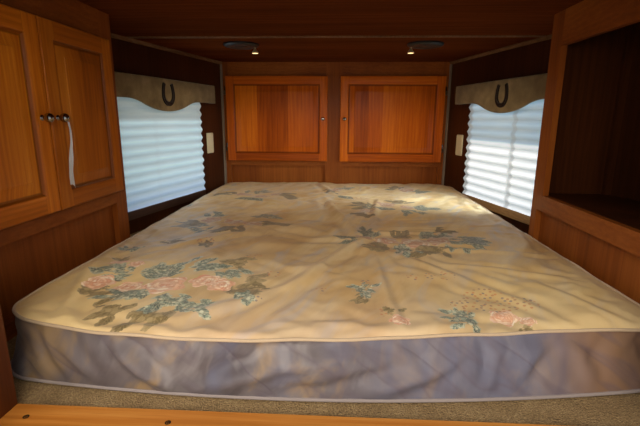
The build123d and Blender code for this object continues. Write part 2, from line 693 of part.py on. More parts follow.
save("deck_frame", deck_frame())
save("deck_board", deck_board())
save("underside_skin", underside_skin())
save("carpet", carpet())
save("deck_nosing", deck_nosing())

wall_left, wall_right, nose_wall, posts = shell()
save("side_wall_left", wall_left)
save("side_wall_right", wall_right)
save("nose_wall", nose_wall)
save("corner_posts", *posts)
save("roof_rail", roof_rail())
save("roof", roof())
save("ceiling_front", ceiling(SEAM_Y, NOSE_IN))
save("ceiling_rear", ceiling(BULKHEAD_FACE, SEAM_Y))
save("ceiling_trims", cove_trim(WARDROBE_END), right_side(cove_trim(CUBBY_END)), seam_strip())
save("corner_trims", *both_sides(corner_trim()))
save("bulkhead_left", bulkhead_side(-STRAIGHT_HALF, -DOORWAY_LEFT))
save("bulkhead_right", bulkhead_side(DOORWAY_RIGHT, STRAIGHT_HALF))
save("bulkhead_header", bulkhead_header())

save("front_frame", front_frame())
save("front_shelf", front_shelf())
wardrobe_top = WARDROBE_DOOR_Z + WARDROBE_DOOR_HEIGHT - OVERLAY
wardrobe_reach = DOOR_MEET_GAP / 2 + WARDROBE_DOOR - OVERLAY
wardrobe_stile = WARDROBE_END - WARDROBE_MEET - wardrobe_reach
save("wardrobe_frame", side_frame(
    WARDROBE_END, wardrobe_stile, wardrobe_stile, FLOOR + TOE_RAIL, WARDROBE_FLOOR_Z,
    WARDROBE_RAIL + OVERLAY, wardrobe_top, WARDROBE_MEET - wardrobe_reach - BULKHEAD_FACE))
save("wardrobe_carcass", side_carcass(WARDROBE_END, WARDROBE_FLOOR_Z, False))
save("cubby_frame", right_side(side_frame(
    CUBBY_END, CUBBY_STILE, CUBBY_LOW_STILE, FLOOR + TOE_RAIL, CUBBY_SHELF_Z, CUBBY_RAIL, CUBBY_TOP, SIDE_STILE)))
save("cubby_carcass", right_side(side_carcass(CUBBY_END, CUBBY_SHELF_Z, True)))
save("lower_panels", front_lower_panel(), side_lower_panel(WARDROBE_END, WARDROBE_FLOOR_Z),
     right_side(side_lower_panel(CUBBY_END, CUBBY_SHELF_Z)))
doors()

save("window_frames", *both_sides(on_wall(WINDOW_Y, window_frame())))
panes = [on_wall(WINDOW_Y, pane) for pane in window_panes()]
save("window_glass", *[p for pane in panes for p in both_sides(pane)])
save("shades", *both_sides(on_wall(WINDOW_Y, shade())))
rails = [on_wall(WINDOW_Y, rail) for rail in shade_rails()]
save("shade_rails", *[r for rail in rails for r in both_sides(rail)])
save("valances", *both_sides(on_wall(WINDOW_Y, valance())))
save("horseshoes", *both_sides(on_wall(WINDOW_Y, horseshoe())))
save("wall_plates", *both_sides(on_wall(PLATE_Y, wall_plate())))
save("ceiling_lights", *both_sides(ceiling_light()))
save("lamp_heads", *both_sides(lamp_head()))
save("mattress", mattress())
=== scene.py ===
"""Looks of a horse trailer's gooseneck sleeping berth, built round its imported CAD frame, in metres."""

import math

import bmesh
import bpy
import numpy as np
from mathutils import Matrix, Vector


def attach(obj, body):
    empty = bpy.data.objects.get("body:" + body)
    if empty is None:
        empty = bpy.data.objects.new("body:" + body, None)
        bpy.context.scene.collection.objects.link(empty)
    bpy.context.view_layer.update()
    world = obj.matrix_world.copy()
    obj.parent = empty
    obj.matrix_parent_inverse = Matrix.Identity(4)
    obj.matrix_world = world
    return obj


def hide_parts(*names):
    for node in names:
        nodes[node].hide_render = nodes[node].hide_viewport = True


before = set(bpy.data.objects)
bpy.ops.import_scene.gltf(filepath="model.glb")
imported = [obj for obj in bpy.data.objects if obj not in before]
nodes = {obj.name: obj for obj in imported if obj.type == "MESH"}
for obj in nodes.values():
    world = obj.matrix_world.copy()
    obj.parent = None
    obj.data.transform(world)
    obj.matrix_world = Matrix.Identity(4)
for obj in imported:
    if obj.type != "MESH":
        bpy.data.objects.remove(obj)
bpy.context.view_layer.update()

# The berth's own sizes, as in the part's source
FACE = 0.865             # front cabinet's face
FACE_HALF = 0.686        # half width of the room there
STRAIGHT_HALF = 1.030    # half width of the room's straight rear
TAPER = 0.2346           # how much a side wall closes in for each metre towards the nose
SLANT = math.hypot(1, TAPER)
BEND = -0.60             # where the outer skins start to close in
SIDE_FACE = 0.720        # wardrobe and cubby faces from the middle
WALL = 0.035             # thickness of the walls
NOSE = 1.220             # nose wall's outer face
CEILING = 0.939
BULKHEAD_FACE = -1.131
WARDROBE_END = -0.310
CUBBY_END = -0.275
FRONT_STILES = (0.6435, 0.0505)       # from the middle: outer stiles start, middle stile ends
WARDROBE_RAILS = (-1.0085, -0.3775)   # rails between the near and the far stile
CUBBY_RAILS = (-1.0705, -0.3455)
WINDOW_Y = 0.290         # window's middle
PLATE_Y, PLATE_UP = 0.705, 0.467      # wall plate's middle
LIGHT_X, LAMP_X, LIGHT_Y = 0.415, 0.352, 0.255
SIDES = ((-1, "left"), (1, "right"))


def half_width(y):
    """Half the room's width at y: straight at the rear, then narrowing to the nose."""
    return np.minimum(STRAIGHT_HALF, FACE_HALF + TAPER * (FACE - np.asarray(y)))


def points_of(x, y, z):
    """Points from their coordinates, as numbers or arrays that fit together."""
    return np.stack(np.broadcast_arrays(x, y, z), -1)


def on_wall(side, y, along, up, out):
    """Points given along a side wall towards the nose, up, and out from its inner face into the berth."""
    x = -half_width(y) + (TAPER * along + out) / SLANT
    return points_of(-side * x, y + (along - TAPER * out) / SLANT, up)


def standing(x, y, z=0):
    """Where a turned profile goes with its axis upright at a point."""
    return lambda px, py, h: points_of(x + px, y + py, z + h)


def square_to_wall(side, y, along, up, out=0):
    """Where a turned profile goes with its axis square to a side wall, at a point given as for on_wall."""
    return lambda px, py, h: on_wall(side, y, along + px, up + py, out + h)


# Meshes: a shape is a list of points and a list of faces

def quads_over(index):
    """Four-sided faces over a table of point numbers."""
    corners = index[:-1, :-1], index[1:, :-1], index[1:, 1:], index[:-1, 1:]
    return np.stack(corners, -1).reshape(-1, 4).tolist()


def grid(points, wrap_u=False, wrap_v=False):
    """Quads over a surface sampled as points[u, v], closed in either direction if it wraps."""
    nu, nv = points.shape[:2]
    index = np.arange(nu * nv).reshape(nu, nv)
    if wrap_u:
        index = np.concatenate([index, index[:1]])
    if wrap_v:
        index = np.concatenate([index, index[:, :1]], 1)
    return points.reshape(-1, 3), quads_over(index)


def outward(shape):
    """The closed shape with its faces turned outwards: its volume, summed over face fans, is positive."""
    points, faces = shape
    fans = np.array([(f[0], f[k], f[k + 1]) for f in faces for k in range(1, len(f) - 1)])
    a, b, c = (points[fans[:, k]] - points.mean(0) for k in range(3))
    if np.einsum("ij,ij->i", a, np.cross(b, c)).sum() < 0:
        faces = [f[::-1] for f in faces]
    return points, faces


def loft(rings):
    """A solid through rings[k, v] of points, with a flat cap on the first ring and the last."""
    points, faces = grid(rings, wrap_v=True)
    nu, nv = rings.shape[:2]
    faces += [list(range(nv)), [(nu - 1) * nv + k for k in reversed(range(nv))]]
    return outward((points, faces))


def turned(profile, sides, place):
    """A profile of (radius, height) rows turned round its axis; place(x, y, h) puts it in the berth."""
    profile = np.asarray(profile, float)
    a = np.arange(sides) * 2 * math.pi / sides
    r, h = profile[:, :1], profile[:, 1:]
    return loft(place(r * np.cos(a), r * np.sin(a), h + 0 * a))


def tube(path, radius, sides, up=(0, 0, 1)):
    """A closed round cord: circles of the radius, square to a closed level path of points."""
    ahead = np.roll(path, -1, 0) - np.roll(path, 1, 0)
    ahead /= np.linalg.norm(ahead, axis=1, keepdims=True)
    side = np.cross(ahead, up)
    side /= np.linalg.norm(side, axis=1, keepdims=True)
    a = (np.arange(sides) * 2 * math.pi / sides)[None, :, None]
    rings = path[:, None] + radius * (np.cos(a) * side[:, None] + np.sin(a) * np.array(up))
    return outward(grid(rings, wrap_u=True, wrap_v=True))


def box_shape(lo, hi):
    """A plain block between two corners, as a loft of two rectangles."""
    (x0, y0, z0), (x1, y1, z1) = lo, hi
    return loft(np.array([[(x0, y0, z), (x1, y0, z), (x1, y1, z), (x0, y1, z)] for z in (z0, z1)]))


def thin(points, thickness):
    """A sheet's two faces and its rim: points[u, v] moved half the thickness each way along the normal.

    The normal is the cross product of the surface's two gradients. The first half of the result's
    points is the face on the normal's side."""
    normal = np.cross(np.gradient(points, axis=0), np.gradient(points, axis=1))
    normal /= np.linalg.norm(normal, axis=2, keepdims=True)
    front, faces = grid(points + normal * thickness / 2)
    back = (points - normal * thickness / 2).reshape(-1, 3)
    nu, nv = points.shape[:2]
    index = np.arange(nu * nv).reshape(nu, nv)
    rim = np.concatenate([index[0], index[1:, -1], index[-1, -2::-1], index[-2:0:-1, 0]])
    step = np.roll(rim, -1)
    count = nu * nv
    faces = faces + [[f[3] + count, f[2] + count, f[1] + count, f[0] + count] for f in faces]
    faces += np.stack([rim, step, step + count, rim + count], 1).tolist()
    return outward((np.concatenate([front, back]), faces))


def joined(shapes):
    """Several shapes as one."""
    points, faces, start = [], [], 0
    for p, f in shapes:
        points.append(p)
        faces += [[k + start for k in face] for face in f]
        start += len(p)
    return np.concatenate(points), faces


def add_facts(mesh, facts):
    """Stores numbers or vectors for each point of a mesh, by name, for its material to read."""
    for label, values in facts.items():
        values = np.asarray(values, np.float32)
        vector = values.ndim == 2
        store = mesh.attributes.new(label, "FLOAT_VECTOR" if vector else "FLOAT", "POINT")
        store.data.foreach_set("vector" if vector else "value", values.ravel())


def piece(name, shape, finish, body="berth", stands_for=(), crease=35, facts=()):
    """Makes a visible piece from a shape, with its finish, material slot, body and per-point facts."""
    points, faces = shape
    mesh = bpy.data.meshes.new(name)
    mesh.from_pydata(points.tolist(), [], faces)
    mesh.validate()
    mesh.polygons.foreach_set("use_smooth", np.ones(len(mesh.polygons), bool))
    mesh.set_sharp_from_angle(angle=math.radians(crease))
    add_facts(mesh, dict(facts))
    mesh.materials.append(finish.material)
    made = bpy.data.objects.new(name, mesh)
    bpy.context.collection.objects.link(made)
    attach(made, body)
    if stands_for:
        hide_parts(*stands_for)
    return made


# Materials

def shade_of(red, green, blue):
    """A colour as a screen shows it, 0 to 255, turned into Blender's linear values."""
    shares = [(v / 255 / 12.92) if v < 10.3 else ((v / 255 + 0.055) / 1.055) ** 2.4 for v in (red, green, blue)]
    return (*shares, 1)


def faded(colour, share):
    """A screen colour with each of its numbers at a share."""
    return tuple(v * share for v in colour)


def linear(colour):
    """A screen colour of three numbers in linear values. Sockets and linear colours stay as they are."""
    return shade_of(*colour) if isinstance(colour, tuple) and len(colour) == 3 else colour


class Socket:
    """A number in a material's nodes: arithmetic on it adds Math nodes."""

    def __init__(self, finish, link):
        self.finish, self.link = finish, link

    def math(self, operation, *others, clamp=False):
        """A Math node's operation on this number and others."""
        return self.finish.maths(operation, self, *others, clamp=clamp)

    def __add__(self, other):
        return self.math("ADD", other)

    def __sub__(self, other):
        return self.math("SUBTRACT", other)

    def __rsub__(self, other):
        return self.finish.maths("SUBTRACT", other, self)

    def __mul__(self, other):
        return self.math("MULTIPLY", other)

    def __truediv__(self, other):
        return self.math("DIVIDE", other)

    def __gt__(self, other):
        return self.math("GREATER_THAN", other)

    def __lt__(self, other):
        return self.math("LESS_THAN", other)

    def __abs__(self):
        return self.math("ABSOLUTE")

    __radd__ = __add__
    __rmul__ = __mul__

    def clip(self):
        """The number held between 0 and 1."""
        return self.math("ADD", 0, clamp=True)


class Finish:
    """A material round one Principled shader. Uniform values go straight on the shader's sockets."""

    def __init__(self, name, **fixed):
        self.material = bpy.data.materials.new(name)
        self.material.use_nodes = True
        self.tree = self.material.node_tree
        self.shader = self.tree.nodes["Principled BSDF"]
        self.feed(**fixed)
        self.where = self.node("TexCoord", output="Object")
        self.x, self.y, self.z = self.split(self.where)

    def feed(self, **values):
        """Sets or links the shader's sockets: base_color is its Base Color, and so on."""
        for label, value in values.items():
            words = label.replace("_", " ").title().replace("Ior", "IOR")
            socket = self.shader.inputs[words]
            if isinstance(value, Socket):
                self.tree.links.new(value.link, socket)
            else:
                socket.default_value = value

    def node(self, kind, settings=(), inputs=(), output=0):
        """Adds a node: its settings first, then its sockets' values or links. Returns one output or a list."""
        made = self.tree.nodes.new("ShaderNode" + kind)
        for key, value in dict(settings).items():
            if key == "stops":
                ramp = made.color_ramp.elements
                while len(ramp) < len(value):
                    ramp.new(0.5)
                for element, (place, colour) in zip(ramp, value):
                    element.position, element.color = place, colour
            else:
                setattr(made, key, value)
        for key, value in dict(inputs).items():
            if isinstance(value, Socket):
                self.tree.links.new(value.link, made.inputs[key])
            else:
                made.inputs[key].default_value = value
        if isinstance(output, (list, tuple)):
            return [Socket(self, made.outputs[k]) for k in output]
        return Socket(self, made.outputs[output])

    def maths(self, operation, *values, clamp=False):
        """A Math node."""
        return self.node("Math", {"operation": operation, "use_clamp": clamp}, dict(enumerate(values)))

    def split(self, vector):
        """The three numbers of a vector or a colour."""
        return self.node("SeparateXYZ", (), {0: vector}, (0, 1, 2))

    def vector(self, x, y, z):
        """A vector of three numbers."""
        return self.node("CombineXYZ", (), {0: x, 1: y, 2: z})

    def fact(self, label, output="Fac"):
        """What add_facts stored for each point under a name."""
        return self.node("Attribute", {"attribute_name": label}, (), output)

    def noise(self, where, scale, detail=2, roughness=0.5, distortion=0):
        """Smooth noise from 0 to 1."""
        return self.node("TexNoise", (), {
            "Vector": where, "Scale": scale, "Detail": detail, "Roughness": roughness,
            "Distortion": distortion}, "Fac")

    def chance(self, value):
        """A random number from 0 to 1 for each whole number."""
        return self.node("TexWhiteNoise", {"noise_dimensions": "1D"}, {"W": value}, "Value")

    def ramp(self, value, *stops):
        """A colour by a number from 0 to 1, through stops of (number, colour)."""
        stops = [(place, linear(colour)) for place, colour in stops]
        return self.node("ValToRGB", {"stops": stops}, {0: value}, "Color")

    def mix(self, share, first, second):
        """A colour between two, by a share from 0 to 1."""
        return self.node("Mix", {"data_type": "RGBA"}, {0: share, 6: linear(first), 7: linear(second)}, 2)

    def stretched(self, where, factors):
        """Coordinates times three factors."""
        return self.node("VectorMath", {"operation": "MULTIPLY"}, {0: where, 1: factors})

    def bump(self, height, strength, distance=0.001):
        """Feeds the shader's normal with a height from 0 to 1."""
        self.feed(normal=self.node("Bump", (), {"Strength": strength, "Distance": distance, "Height": height}))


def band(value, low, high, soft=0.0):
    """1 where a socket's value lies between two limits, else 0, with edges of the given softness."""
    if soft:
        return ((value - low) / soft + 0.5).clip() * ((high - value) / soft + 0.5).clip()
    return (value > low) * (value < high)


def grain(f, across, along, depth, size=1.0):
    """Figure and pores of wood, each 0 to 1.

    The figure is slow noise stretched along the grain and wound into lines by a sine of the distance
    across it. The pores are fine noise stretched much further."""
    slow = f.noise(f.vector(across, along * 0.09, depth), 9 / size, 3)
    lines = (across * (300 / size) + slow * 34).math("SINE") * 0.5 + 0.5
    streaks = f.noise(f.vector(across, along * 0.035, depth), 150 / size, 3, 0.6)
    pores = f.noise(f.vector(across, along * 0.02, depth), 900 / size, 1)
    return slow * 0.66 + lines * 0.07 + streaks * 0.40 - 0.06, pores


def wood(name, tones, across_along, size=1.0, board=None, gloss=0.42, coat=0.08, groove=None, spread=0.3,
         shine=0.13):
    """Varnished wood. across_along(f) gives the coordinates across and along the grain and the depth.

    tones are its dark, middle and light colours. board(f) numbers the boards, whose tones differ by
    spread, and groove(f) is 1 where painted shade darkens a groove or a dark joint line runs."""
    f = Finish(name, coat_weight=coat, coat_roughness=0.16, specular_ior_level=shine)
    across, along, depth = across_along(f)
    if board is not None:
        number = board(f)
        shift = (f.chance(number) - 0.5) * spread
        depth = depth + number * 0.37
    else:
        shift = 0.0
    figure, pores = grain(f, across, along, depth, size)
    dark, middle, light = (shade_of(*t) for t in tones)
    colour = f.ramp(figure + shift * 0.55, (0.25, dark), (0.5, middle), (0.76, light))
    colour = f.mix(((pores - 0.56) * 5).clip() * 0.35, colour, dark)
    # Painted shade: grooves darken towards half the dark tone.
    if groove is not None:
        colour = f.mix(groove(f), colour, tuple(v * 0.5 for v in dark[:3]) + (1,))
    f.feed(base_color=colour, roughness=gloss + (figure - 0.5) * 0.12 + (pores - 0.5) * 0.08)
    f.bump(pores * 0.6 + figure * 0.4, 0.25, 0.0004)
    return f


# Tones of the woods: dark, middle, light
CHERRY = ((136, 58, 9), (182, 84, 12), (214, 114, 22))
CHERRY_NEAR = ((150, 76, 14), (198, 108, 24), (226, 142, 40))
# The far wardrobe door's tones: a darker copy of the near door's, painted shade.
CHERRY_FAR_SHADED = ((128, 64, 14), (168, 90, 22), (196, 120, 36))
STAINED = ((104, 50, 18), (132, 68, 24), (156, 88, 34))
SHADED = ((68, 32, 13), (92, 45, 18), (114, 60, 25))
PANEL = ((42, 20, 9), (62, 30, 12), (82, 42, 17))
PALE = ((128, 92, 60), (158, 120, 84), (184, 148, 110))
SILL = ((142, 80, 26), (184, 112, 42), (208, 142, 66))
OVERHEAD = ((62, 30, 13), (88, 43, 18), (112, 58, 26))
STRIP = ((84, 58, 38), (112, 80, 54), (136, 102, 74))
GREY_STRIP = ((92, 76, 62), (128, 110, 92), (156, 138, 118))


def upright(f):
    """Grain upwards on any upright face: the run across is x and y together."""
    return f.x + f.y * 0.83, f.z, f.x * 0.6 - f.y


def lengthwise(f):
    """Grain towards the nose."""
    return f.x + f.z * 0.7, f.y, f.z


def crosswise(f):
    """Grain from side to side."""
    return f.y + f.z * 0.7, f.x, f.z


def stiles_and_rails(run, in_stile):
    """Grain of a face frame: up in its stiles and along the run elsewhere."""
    def choose(f):
        stile = in_stile(f)
        level = run(f)
        across = stile * (level - f.z) + f.z
        along = stile * (f.z - level) + level
        return across, along, f.x * 0.3 + f.y * 0.3
    return choose


def front_stile(f):
    """1 in the front frame's three stiles."""
    outer, middle = FRONT_STILES
    return (abs(f.x) > outer) + (abs(f.x) < middle)


def stiles_beside(rails):
    """1 in a side frame's two stiles, which are before and past its rails."""
    near, far = rails
    return lambda f: (f.y < near) + (f.y > far)


front_frame = wood("front_frame_wood", STAINED, stiles_and_rails(lambda f: f.x, front_stile))
wardrobe_frame, cubby_frame = (
    wood(name, STAINED, stiles_and_rails(lambda f: f.y, stiles_beside(rails)))
    for name, rails in (("wardrobe_frame_wood", WARDROBE_RAILS), ("cubby_frame_wood", CUBBY_RAILS)))
lower_wood = wood("lower_panel_wood", STAINED, upright, size=1.3, gloss=0.45, coat=0.04)
ceiling_wood = wood("ceiling_panel_wood", OVERHEAD, crosswise, size=1.6, gloss=0.7, coat=0, shine=0.0)
shelf_wood = wood("shelf_wood", PANEL, lengthwise, size=1.5, gloss=0.4)
bulkhead_wood = wood("bulkhead_wood", SHADED, upright, size=1.3, gloss=0.42)
carcass_wood = wood("carcass_wood", PANEL, upright, size=1.4, gloss=0.42, coat=0.05)
trim_wood = wood("trim_strip_wood", STRIP, lengthwise, gloss=0.6, coat=0, shine=0.03)
corner_wood = wood("corner_strip_wood", GREY_STRIP, upright, gloss=0.4)
sill_wood = wood("sill_wood", SILL, crosswise, size=1.2, gloss=0.34, coat=0.2)
deck_wood = wood("deck_plywood", PALE, crosswise, size=1.4, gloss=0.6, coat=0)


def past_side(f):
    """1 in the outer half of a side wall's thickness, by how far a point lies outside the room's plan."""
    reach = (f.y * -TAPER + (FACE_HALF + TAPER * FACE)).math("MINIMUM", STRAIGHT_HALF)
    return (abs(f.x) - reach) > WALL * 0.5


def past_nose(f):
    """1 in the outer half of the nose wall's thickness."""
    return f.y > NOSE - WALL * 0.5


def wall_finish(name, past):
    """Wall: dark wood panel on its inner side and white gloss skin where past(f) says that it faces out."""
    f = Finish(name, coat_weight=0.03, coat_roughness=0.2, specular_ior_level=0.13)
    outside = past(f)
    figure, pores = grain(f, f.x + f.y, f.z, f.x, 1.5)
    dark, middle, light = PANEL
    inside = f.ramp(figure, (0.22, dark), (0.5, middle), (0.8, light))
    seam = band(f.y.math("PINGPONG", 0.6), -0.001, 0.002)
    dust = f.noise(f.where, 3, 4) * 0.06
    skin = f.mix(dust, (236, 236, 232), (190, 186, 176))
    skin = f.mix(seam * 0.7, skin, (120, 120, 118))
    f.feed(base_color=f.mix(outside, inside, skin), roughness=0.42 - outside * 0.12 + (pores - 0.5) * 0.06)
    f.bump(figure * (1 - outside) * 0.3 + f.noise(f.where, 2.2, 2) * outside * 4, 0.12, 0.001)
    return f


def skin_finish(name, base, rough):
    """Painted sheet: one colour with faint dust and a long, soft waviness."""
    f = Finish(name, coat_weight=0.2, coat_roughness=0.12)
    dust = f.noise(f.where, 4, 4)
    f.feed(base_color=f.mix((dust - 0.3).clip() * 0.4, base, faded(base, 0.84)),
           roughness=rough + (dust - 0.5) * 0.08)
    f.bump(f.noise(f.where, 2.5, 2), 0.1, 0.003)
    return f


def metal_finish(name, base, rough, lines=(1, 1, 1), metal=1.0):
    """Metal with fine drawing lines: noise stretched by the three factors of lines."""
    f = Finish(name, metallic=metal)
    scratch = f.noise(f.stretched(f.where, lines), 60, 3)
    f.feed(base_color=f.mix(scratch, base, faded(base, 0.72)), roughness=rough + (scratch - 0.5) * 0.2)
    f.bump(scratch, 0.12, 0.0004)
    return f


white_skin = skin_finish("white_skin", (236, 236, 232), 0.3)
side_walls = wall_finish("side_wall_panel_and_skin", past_side)
nose_wall = wall_finish("nose_wall_panel_and_skin", past_nose)
aluminium = metal_finish("mill_aluminium", (200, 202, 204), 0.36, (1, 0.04, 0.3))
window_metal = metal_finish("anodised_window_frame", (176, 178, 182), 0.34, (0.3, 0.3, 0.3))
nickel = metal_finish("polished_nickel", (196, 192, 186), 0.09, (0.2, 0.2, 0.2))
hinge_bronze = metal_finish("bronzed_steel", (120, 104, 82), 0.36)
iron = metal_finish("forged_iron", (46, 34, 30), 0.5, metal=0.5)
lamp_black = metal_finish("black_enamel", (22, 20, 19), 0.5, metal=0.0)


def glass_finish():
    """Tinted window glass: see-through by a share of transparency, with a smooth gloss."""
    f = Finish("tinted_glass", roughness=0.04, specular_ior_level=0.6)
    smear = f.noise(f.where, 12, 3)
    f.feed(base_color=f.mix(smear, (40, 46, 48), (52, 58, 60)), alpha=0.42 + smear * 0.08)
    return f


def carpet_finish():
    """Cut pile: specks of three tones from fine and coarse noise, painted shade between the cell-noise tufts, over
    a bump of tufts.
    """
    f = Finish("carpet_pile", roughness=0.95, specular_ior_level=0.05, sheen_weight=0.04, sheen_roughness=0.5)
    speck = f.noise(f.where, 300, 3, 0.7)
    tuft = f.node("TexVoronoi", {"feature": "F1"}, {"Vector": f.where, "Scale": 330}, "Distance")
    patch = f.noise(f.where, 22, 3)
    colour = f.ramp(speck * 0.75 + patch * 0.25, (0.3, (104, 80, 50)), (0.5, (166, 134, 88)),
                    (0.7, (210, 178, 126)))
    # Painted shade: darker between the tufts, where the bump is low.
    f.feed(base_color=f.mix((tuft * 1.4).clip() * 0.5, colour, (110, 86, 58)))
    f.bump(speck + (1 - tuft), 0.9, 0.003)
    return f


def suede_finish():
    """Brushed suede cloth: soft nap patches and a fine grain, with a sheen at grazing angles."""
    f = Finish("valance_suede", roughness=0.9, specular_ior_level=0.15, sheen_weight=0.4, sheen_roughness=0.4)
    nap = f.noise(f.where, 14, 4, 0.6)
    fine = f.noise(f.where, 700, 2)
    colour = f.ramp(nap * 0.8 + fine * 0.2, (0.3, (98, 80, 52)), (0.55, (126, 106, 72)),
                    (0.75, (148, 126, 90)))
    f.feed(base_color=colour)
    f.bump(fine + nap * 0.5, 0.5, 0.0006)
    return f


def moulded_finish(name, base, rough=0.35):
    """Moulded plastic with a fine grain and slight yellowing in patches."""
    f = Finish(name)
    patch, fine = f.noise(f.where, 18, 3), f.noise(f.where, 900, 1)
    f.feed(base_color=f.mix(patch, base, faded(base, 0.86)), roughness=rough + (fine - 0.5) * 0.1)
    f.bump(fine, 0.12, 0.0003)
    return f


glass = glass_finish()
carpet_pile = carpet_finish()
suede = suede_finish()
ivory = moulded_finish("ivory_plate", (228, 214, 172))


def rail_finish():
    """Shade rails: pale wood on the right, and on the left a darker copy of it painted as shade, grain along them.
    """
    f = Finish("shade_rail_wood", coat_weight=0.2, coat_roughness=0.2)
    figure, pores = grain(f, f.z + f.x * 0.3, f.y, f.x, 0.8)
    pale = f.ramp(figure, (0.25, (150, 110, 66)), (0.5, (190, 150, 100)),
                  (0.8, (214, 180, 132)))
    # Painted shade: the left rail's darker tones stand for shade on the same pale wood.
    dark = f.ramp(figure, (0.25, (40, 24, 16)), (0.5, (64, 40, 26)), (0.8, (90, 60, 42)))
    f.feed(base_color=f.mix(f.x > 0, dark, pale), roughness=0.35 + (pores - 0.5) * 0.1)
    f.bump(pores, 0.2, 0.0004)
    return f


shade_rail = rail_finish()

for node, finish in {
    "deck_frame": aluminium, "deck_board": deck_wood, "underside_skin": aluminium, "deck_nosing": sill_wood,
    "side_wall_left": side_walls, "side_wall_right": side_walls, "nose_wall": nose_wall,
    "corner_posts": aluminium, "roof_rail": aluminium, "roof": white_skin,
    "ceiling_front": ceiling_wood, "ceiling_rear": ceiling_wood, "ceiling_trims": trim_wood,
    "corner_trims": corner_wood, "bulkhead_left": bulkhead_wood, "bulkhead_right": bulkhead_wood,
    "bulkhead_header": bulkhead_wood, "front_frame": front_frame, "front_shelf": shelf_wood,
    "lower_panels": lower_wood, "wardrobe_frame": wardrobe_frame, "wardrobe_carcass": carcass_wood,
    "cubby_frame": cubby_frame, "cubby_carcass": carcass_wood, "hinge_pins": hinge_bronze,
    "window_frames": window_metal, "window_glass": glass, "shade_rails": shade_rail,
}.items():
    held = nodes[node]
    if not held.material_slots:
        held.data.materials.append(finish.material)
    for place in held.material_slots:
        place.material = finish.material


# Doors: raised panels in frames, on their hinges, with turned knobs

DOOR_EDGE_GAP = 0.0065   # hinge pin to the door's edge
DOOR_BACK = -0.002       # door's faces in front of its pin
DOOR_FRONT = 0.017
STILE = 0.052            # width of the door's stiles and rails
KNOB_HEIGHT = 0.609
KNOB_IN = 0.027          # knob from the door's free edge
HINGE_IN = 0.060         # hinge from the door's top or bottom
KNUCKLE = 0.024          # length of a knuckle
KNUCKLE_GAP = 0.0003     # play between two knuckles
LEAF_RUN, LEAF_OUT = (0.005, DOOR_EDGE_GAP), 0.0135    # hinge leaf between knuckle and door edge

# Knuckle's profile: radius, height
KNUCKLE_PROFILE = [(0.0026, 0), (0.0048, 0), (0.0055, 0.0007), (0.0055, KNUCKLE - 0.0007), (0.0048, KNUCKLE),
                   (0.0026, KNUCKLE)]

# name, body, pin x, pin y, run of the door from its pin, way that it faces, width, bottom, height, tones, boards
DOORS = [
    ("front_door_left", "front_left", -0.6625, 0.858, (1, 0), (0, -1), 0.618, 0.352, 0.506, CHERRY, 0.19),
    ("front_door_right", "front_right", 0.6625, 0.858, (-1, 0), (0, -1), 0.618, 0.352, 0.506, CHERRY, 0.085),
    ("wardrobe_door_near", "wardrobe_near", -0.713, -1.0275, (0, 1), (1, 0), 0.325, 0.367, 0.485, CHERRY_NEAR, 0.3),
    ("wardrobe_door_far", "wardrobe_far", -0.713, -0.3585, (0, -1), (1, 0), 0.325, 0.367, 0.485, CHERRY_FAR_SHADED, 0.16),
]

# The door's face from its outer edge inwards: inset and height over the back, in millimetres
DOOR_PROFILE = [
    (0, 0), (0, 15), (0.4, 16.6), (1.4, 18), (3, 18.8), (5, 19), (43, 19), (44, 18.6), (45.4, 18.4), (47.6, 17.6),
    (49.6, 15.6), (51, 13.4), (52, 11.4), (52.4, 11), (56, 11), (60, 11.3), (66, 12.2), (73, 13.6), (80, 15.3),
    (85, 16.6), (86, 16.8), (86.4, 17.6), (87.6, 18), (90, 18),
]


def door_shape(place, width, low, height):
    """Rectangles nested one in another, each at its inset and height in the profile, closed by a flat middle."""
    profile = np.array(DOOR_PROFILE) / 1000
    inset, rise = profile[:, 0], profile[:, 1]
    a0, a1 = DOOR_EDGE_GAP + inset, DOOR_EDGE_GAP + width - inset
    z0, z1 = low + inset, low + height - inset
    along = np.stack([a0, a1, a1, a0], 1)
    up = np.stack([z0, z0, z1, z1], 1)
    return loft(place(along, (DOOR_BACK + rise)[:, None] + 0 * along, up))


def door_wood(name, run, middle_at, width, low, height, tones, boards):
    """A door's wood: grain up in stiles and panel, level in rails, painted shade in the groove round the panel, and
    dark joint lines.
    """
    axis = 0 if run[0] else 1
    middle = low + height / 2

    def parts(f):
        a = (f.x, f.y)[axis] - middle_at
        inset_a, inset_z = width / 2 - abs(a), height / 2 - abs(f.z - middle)
        rail = (inset_z < STILE) * (inset_a > STILE)
        panel = (inset_z > STILE) * (inset_a > STILE)
        return a, inset_a, inset_z, rail, panel

    def along_grain(f):
        a, _, _, rail, _ = parts(f)
        return rail * (f.z - a) + a, rail * (a - f.z) + f.z, a * 0.0 + middle_at

    def boards_of(f):
        a, _, _, rail, panel = parts(f)
        board = ((a + width / 2) / boards).math("FLOOR") + 3
        return panel * board + rail * ((f.z > middle) + 20) + (1 - panel) * (1 - rail) * ((a > 0) + 31)

    def groove_shade_and_joints(f):
        _, inset_a, inset_z, _, _ = parts(f)
        inset = inset_a.math("MINIMUM", inset_z)
        # Painted shade in the groove round the raised panel; joint is the rails' dark joint line.
        groove = band(inset, STILE - 0.004, STILE + 0.006, 0.003) * 0.75
        joint = band(inset_a, STILE - 0.0005, STILE + 0.0005) * (inset_z < STILE) * 0.5
        return (groove + joint).clip()

    return wood(name + "_wood", tones, along_grain, board=boards_of, gloss=0.34, coat=0.16, groove=groove_shade_and_joints,
                spread=0.5)


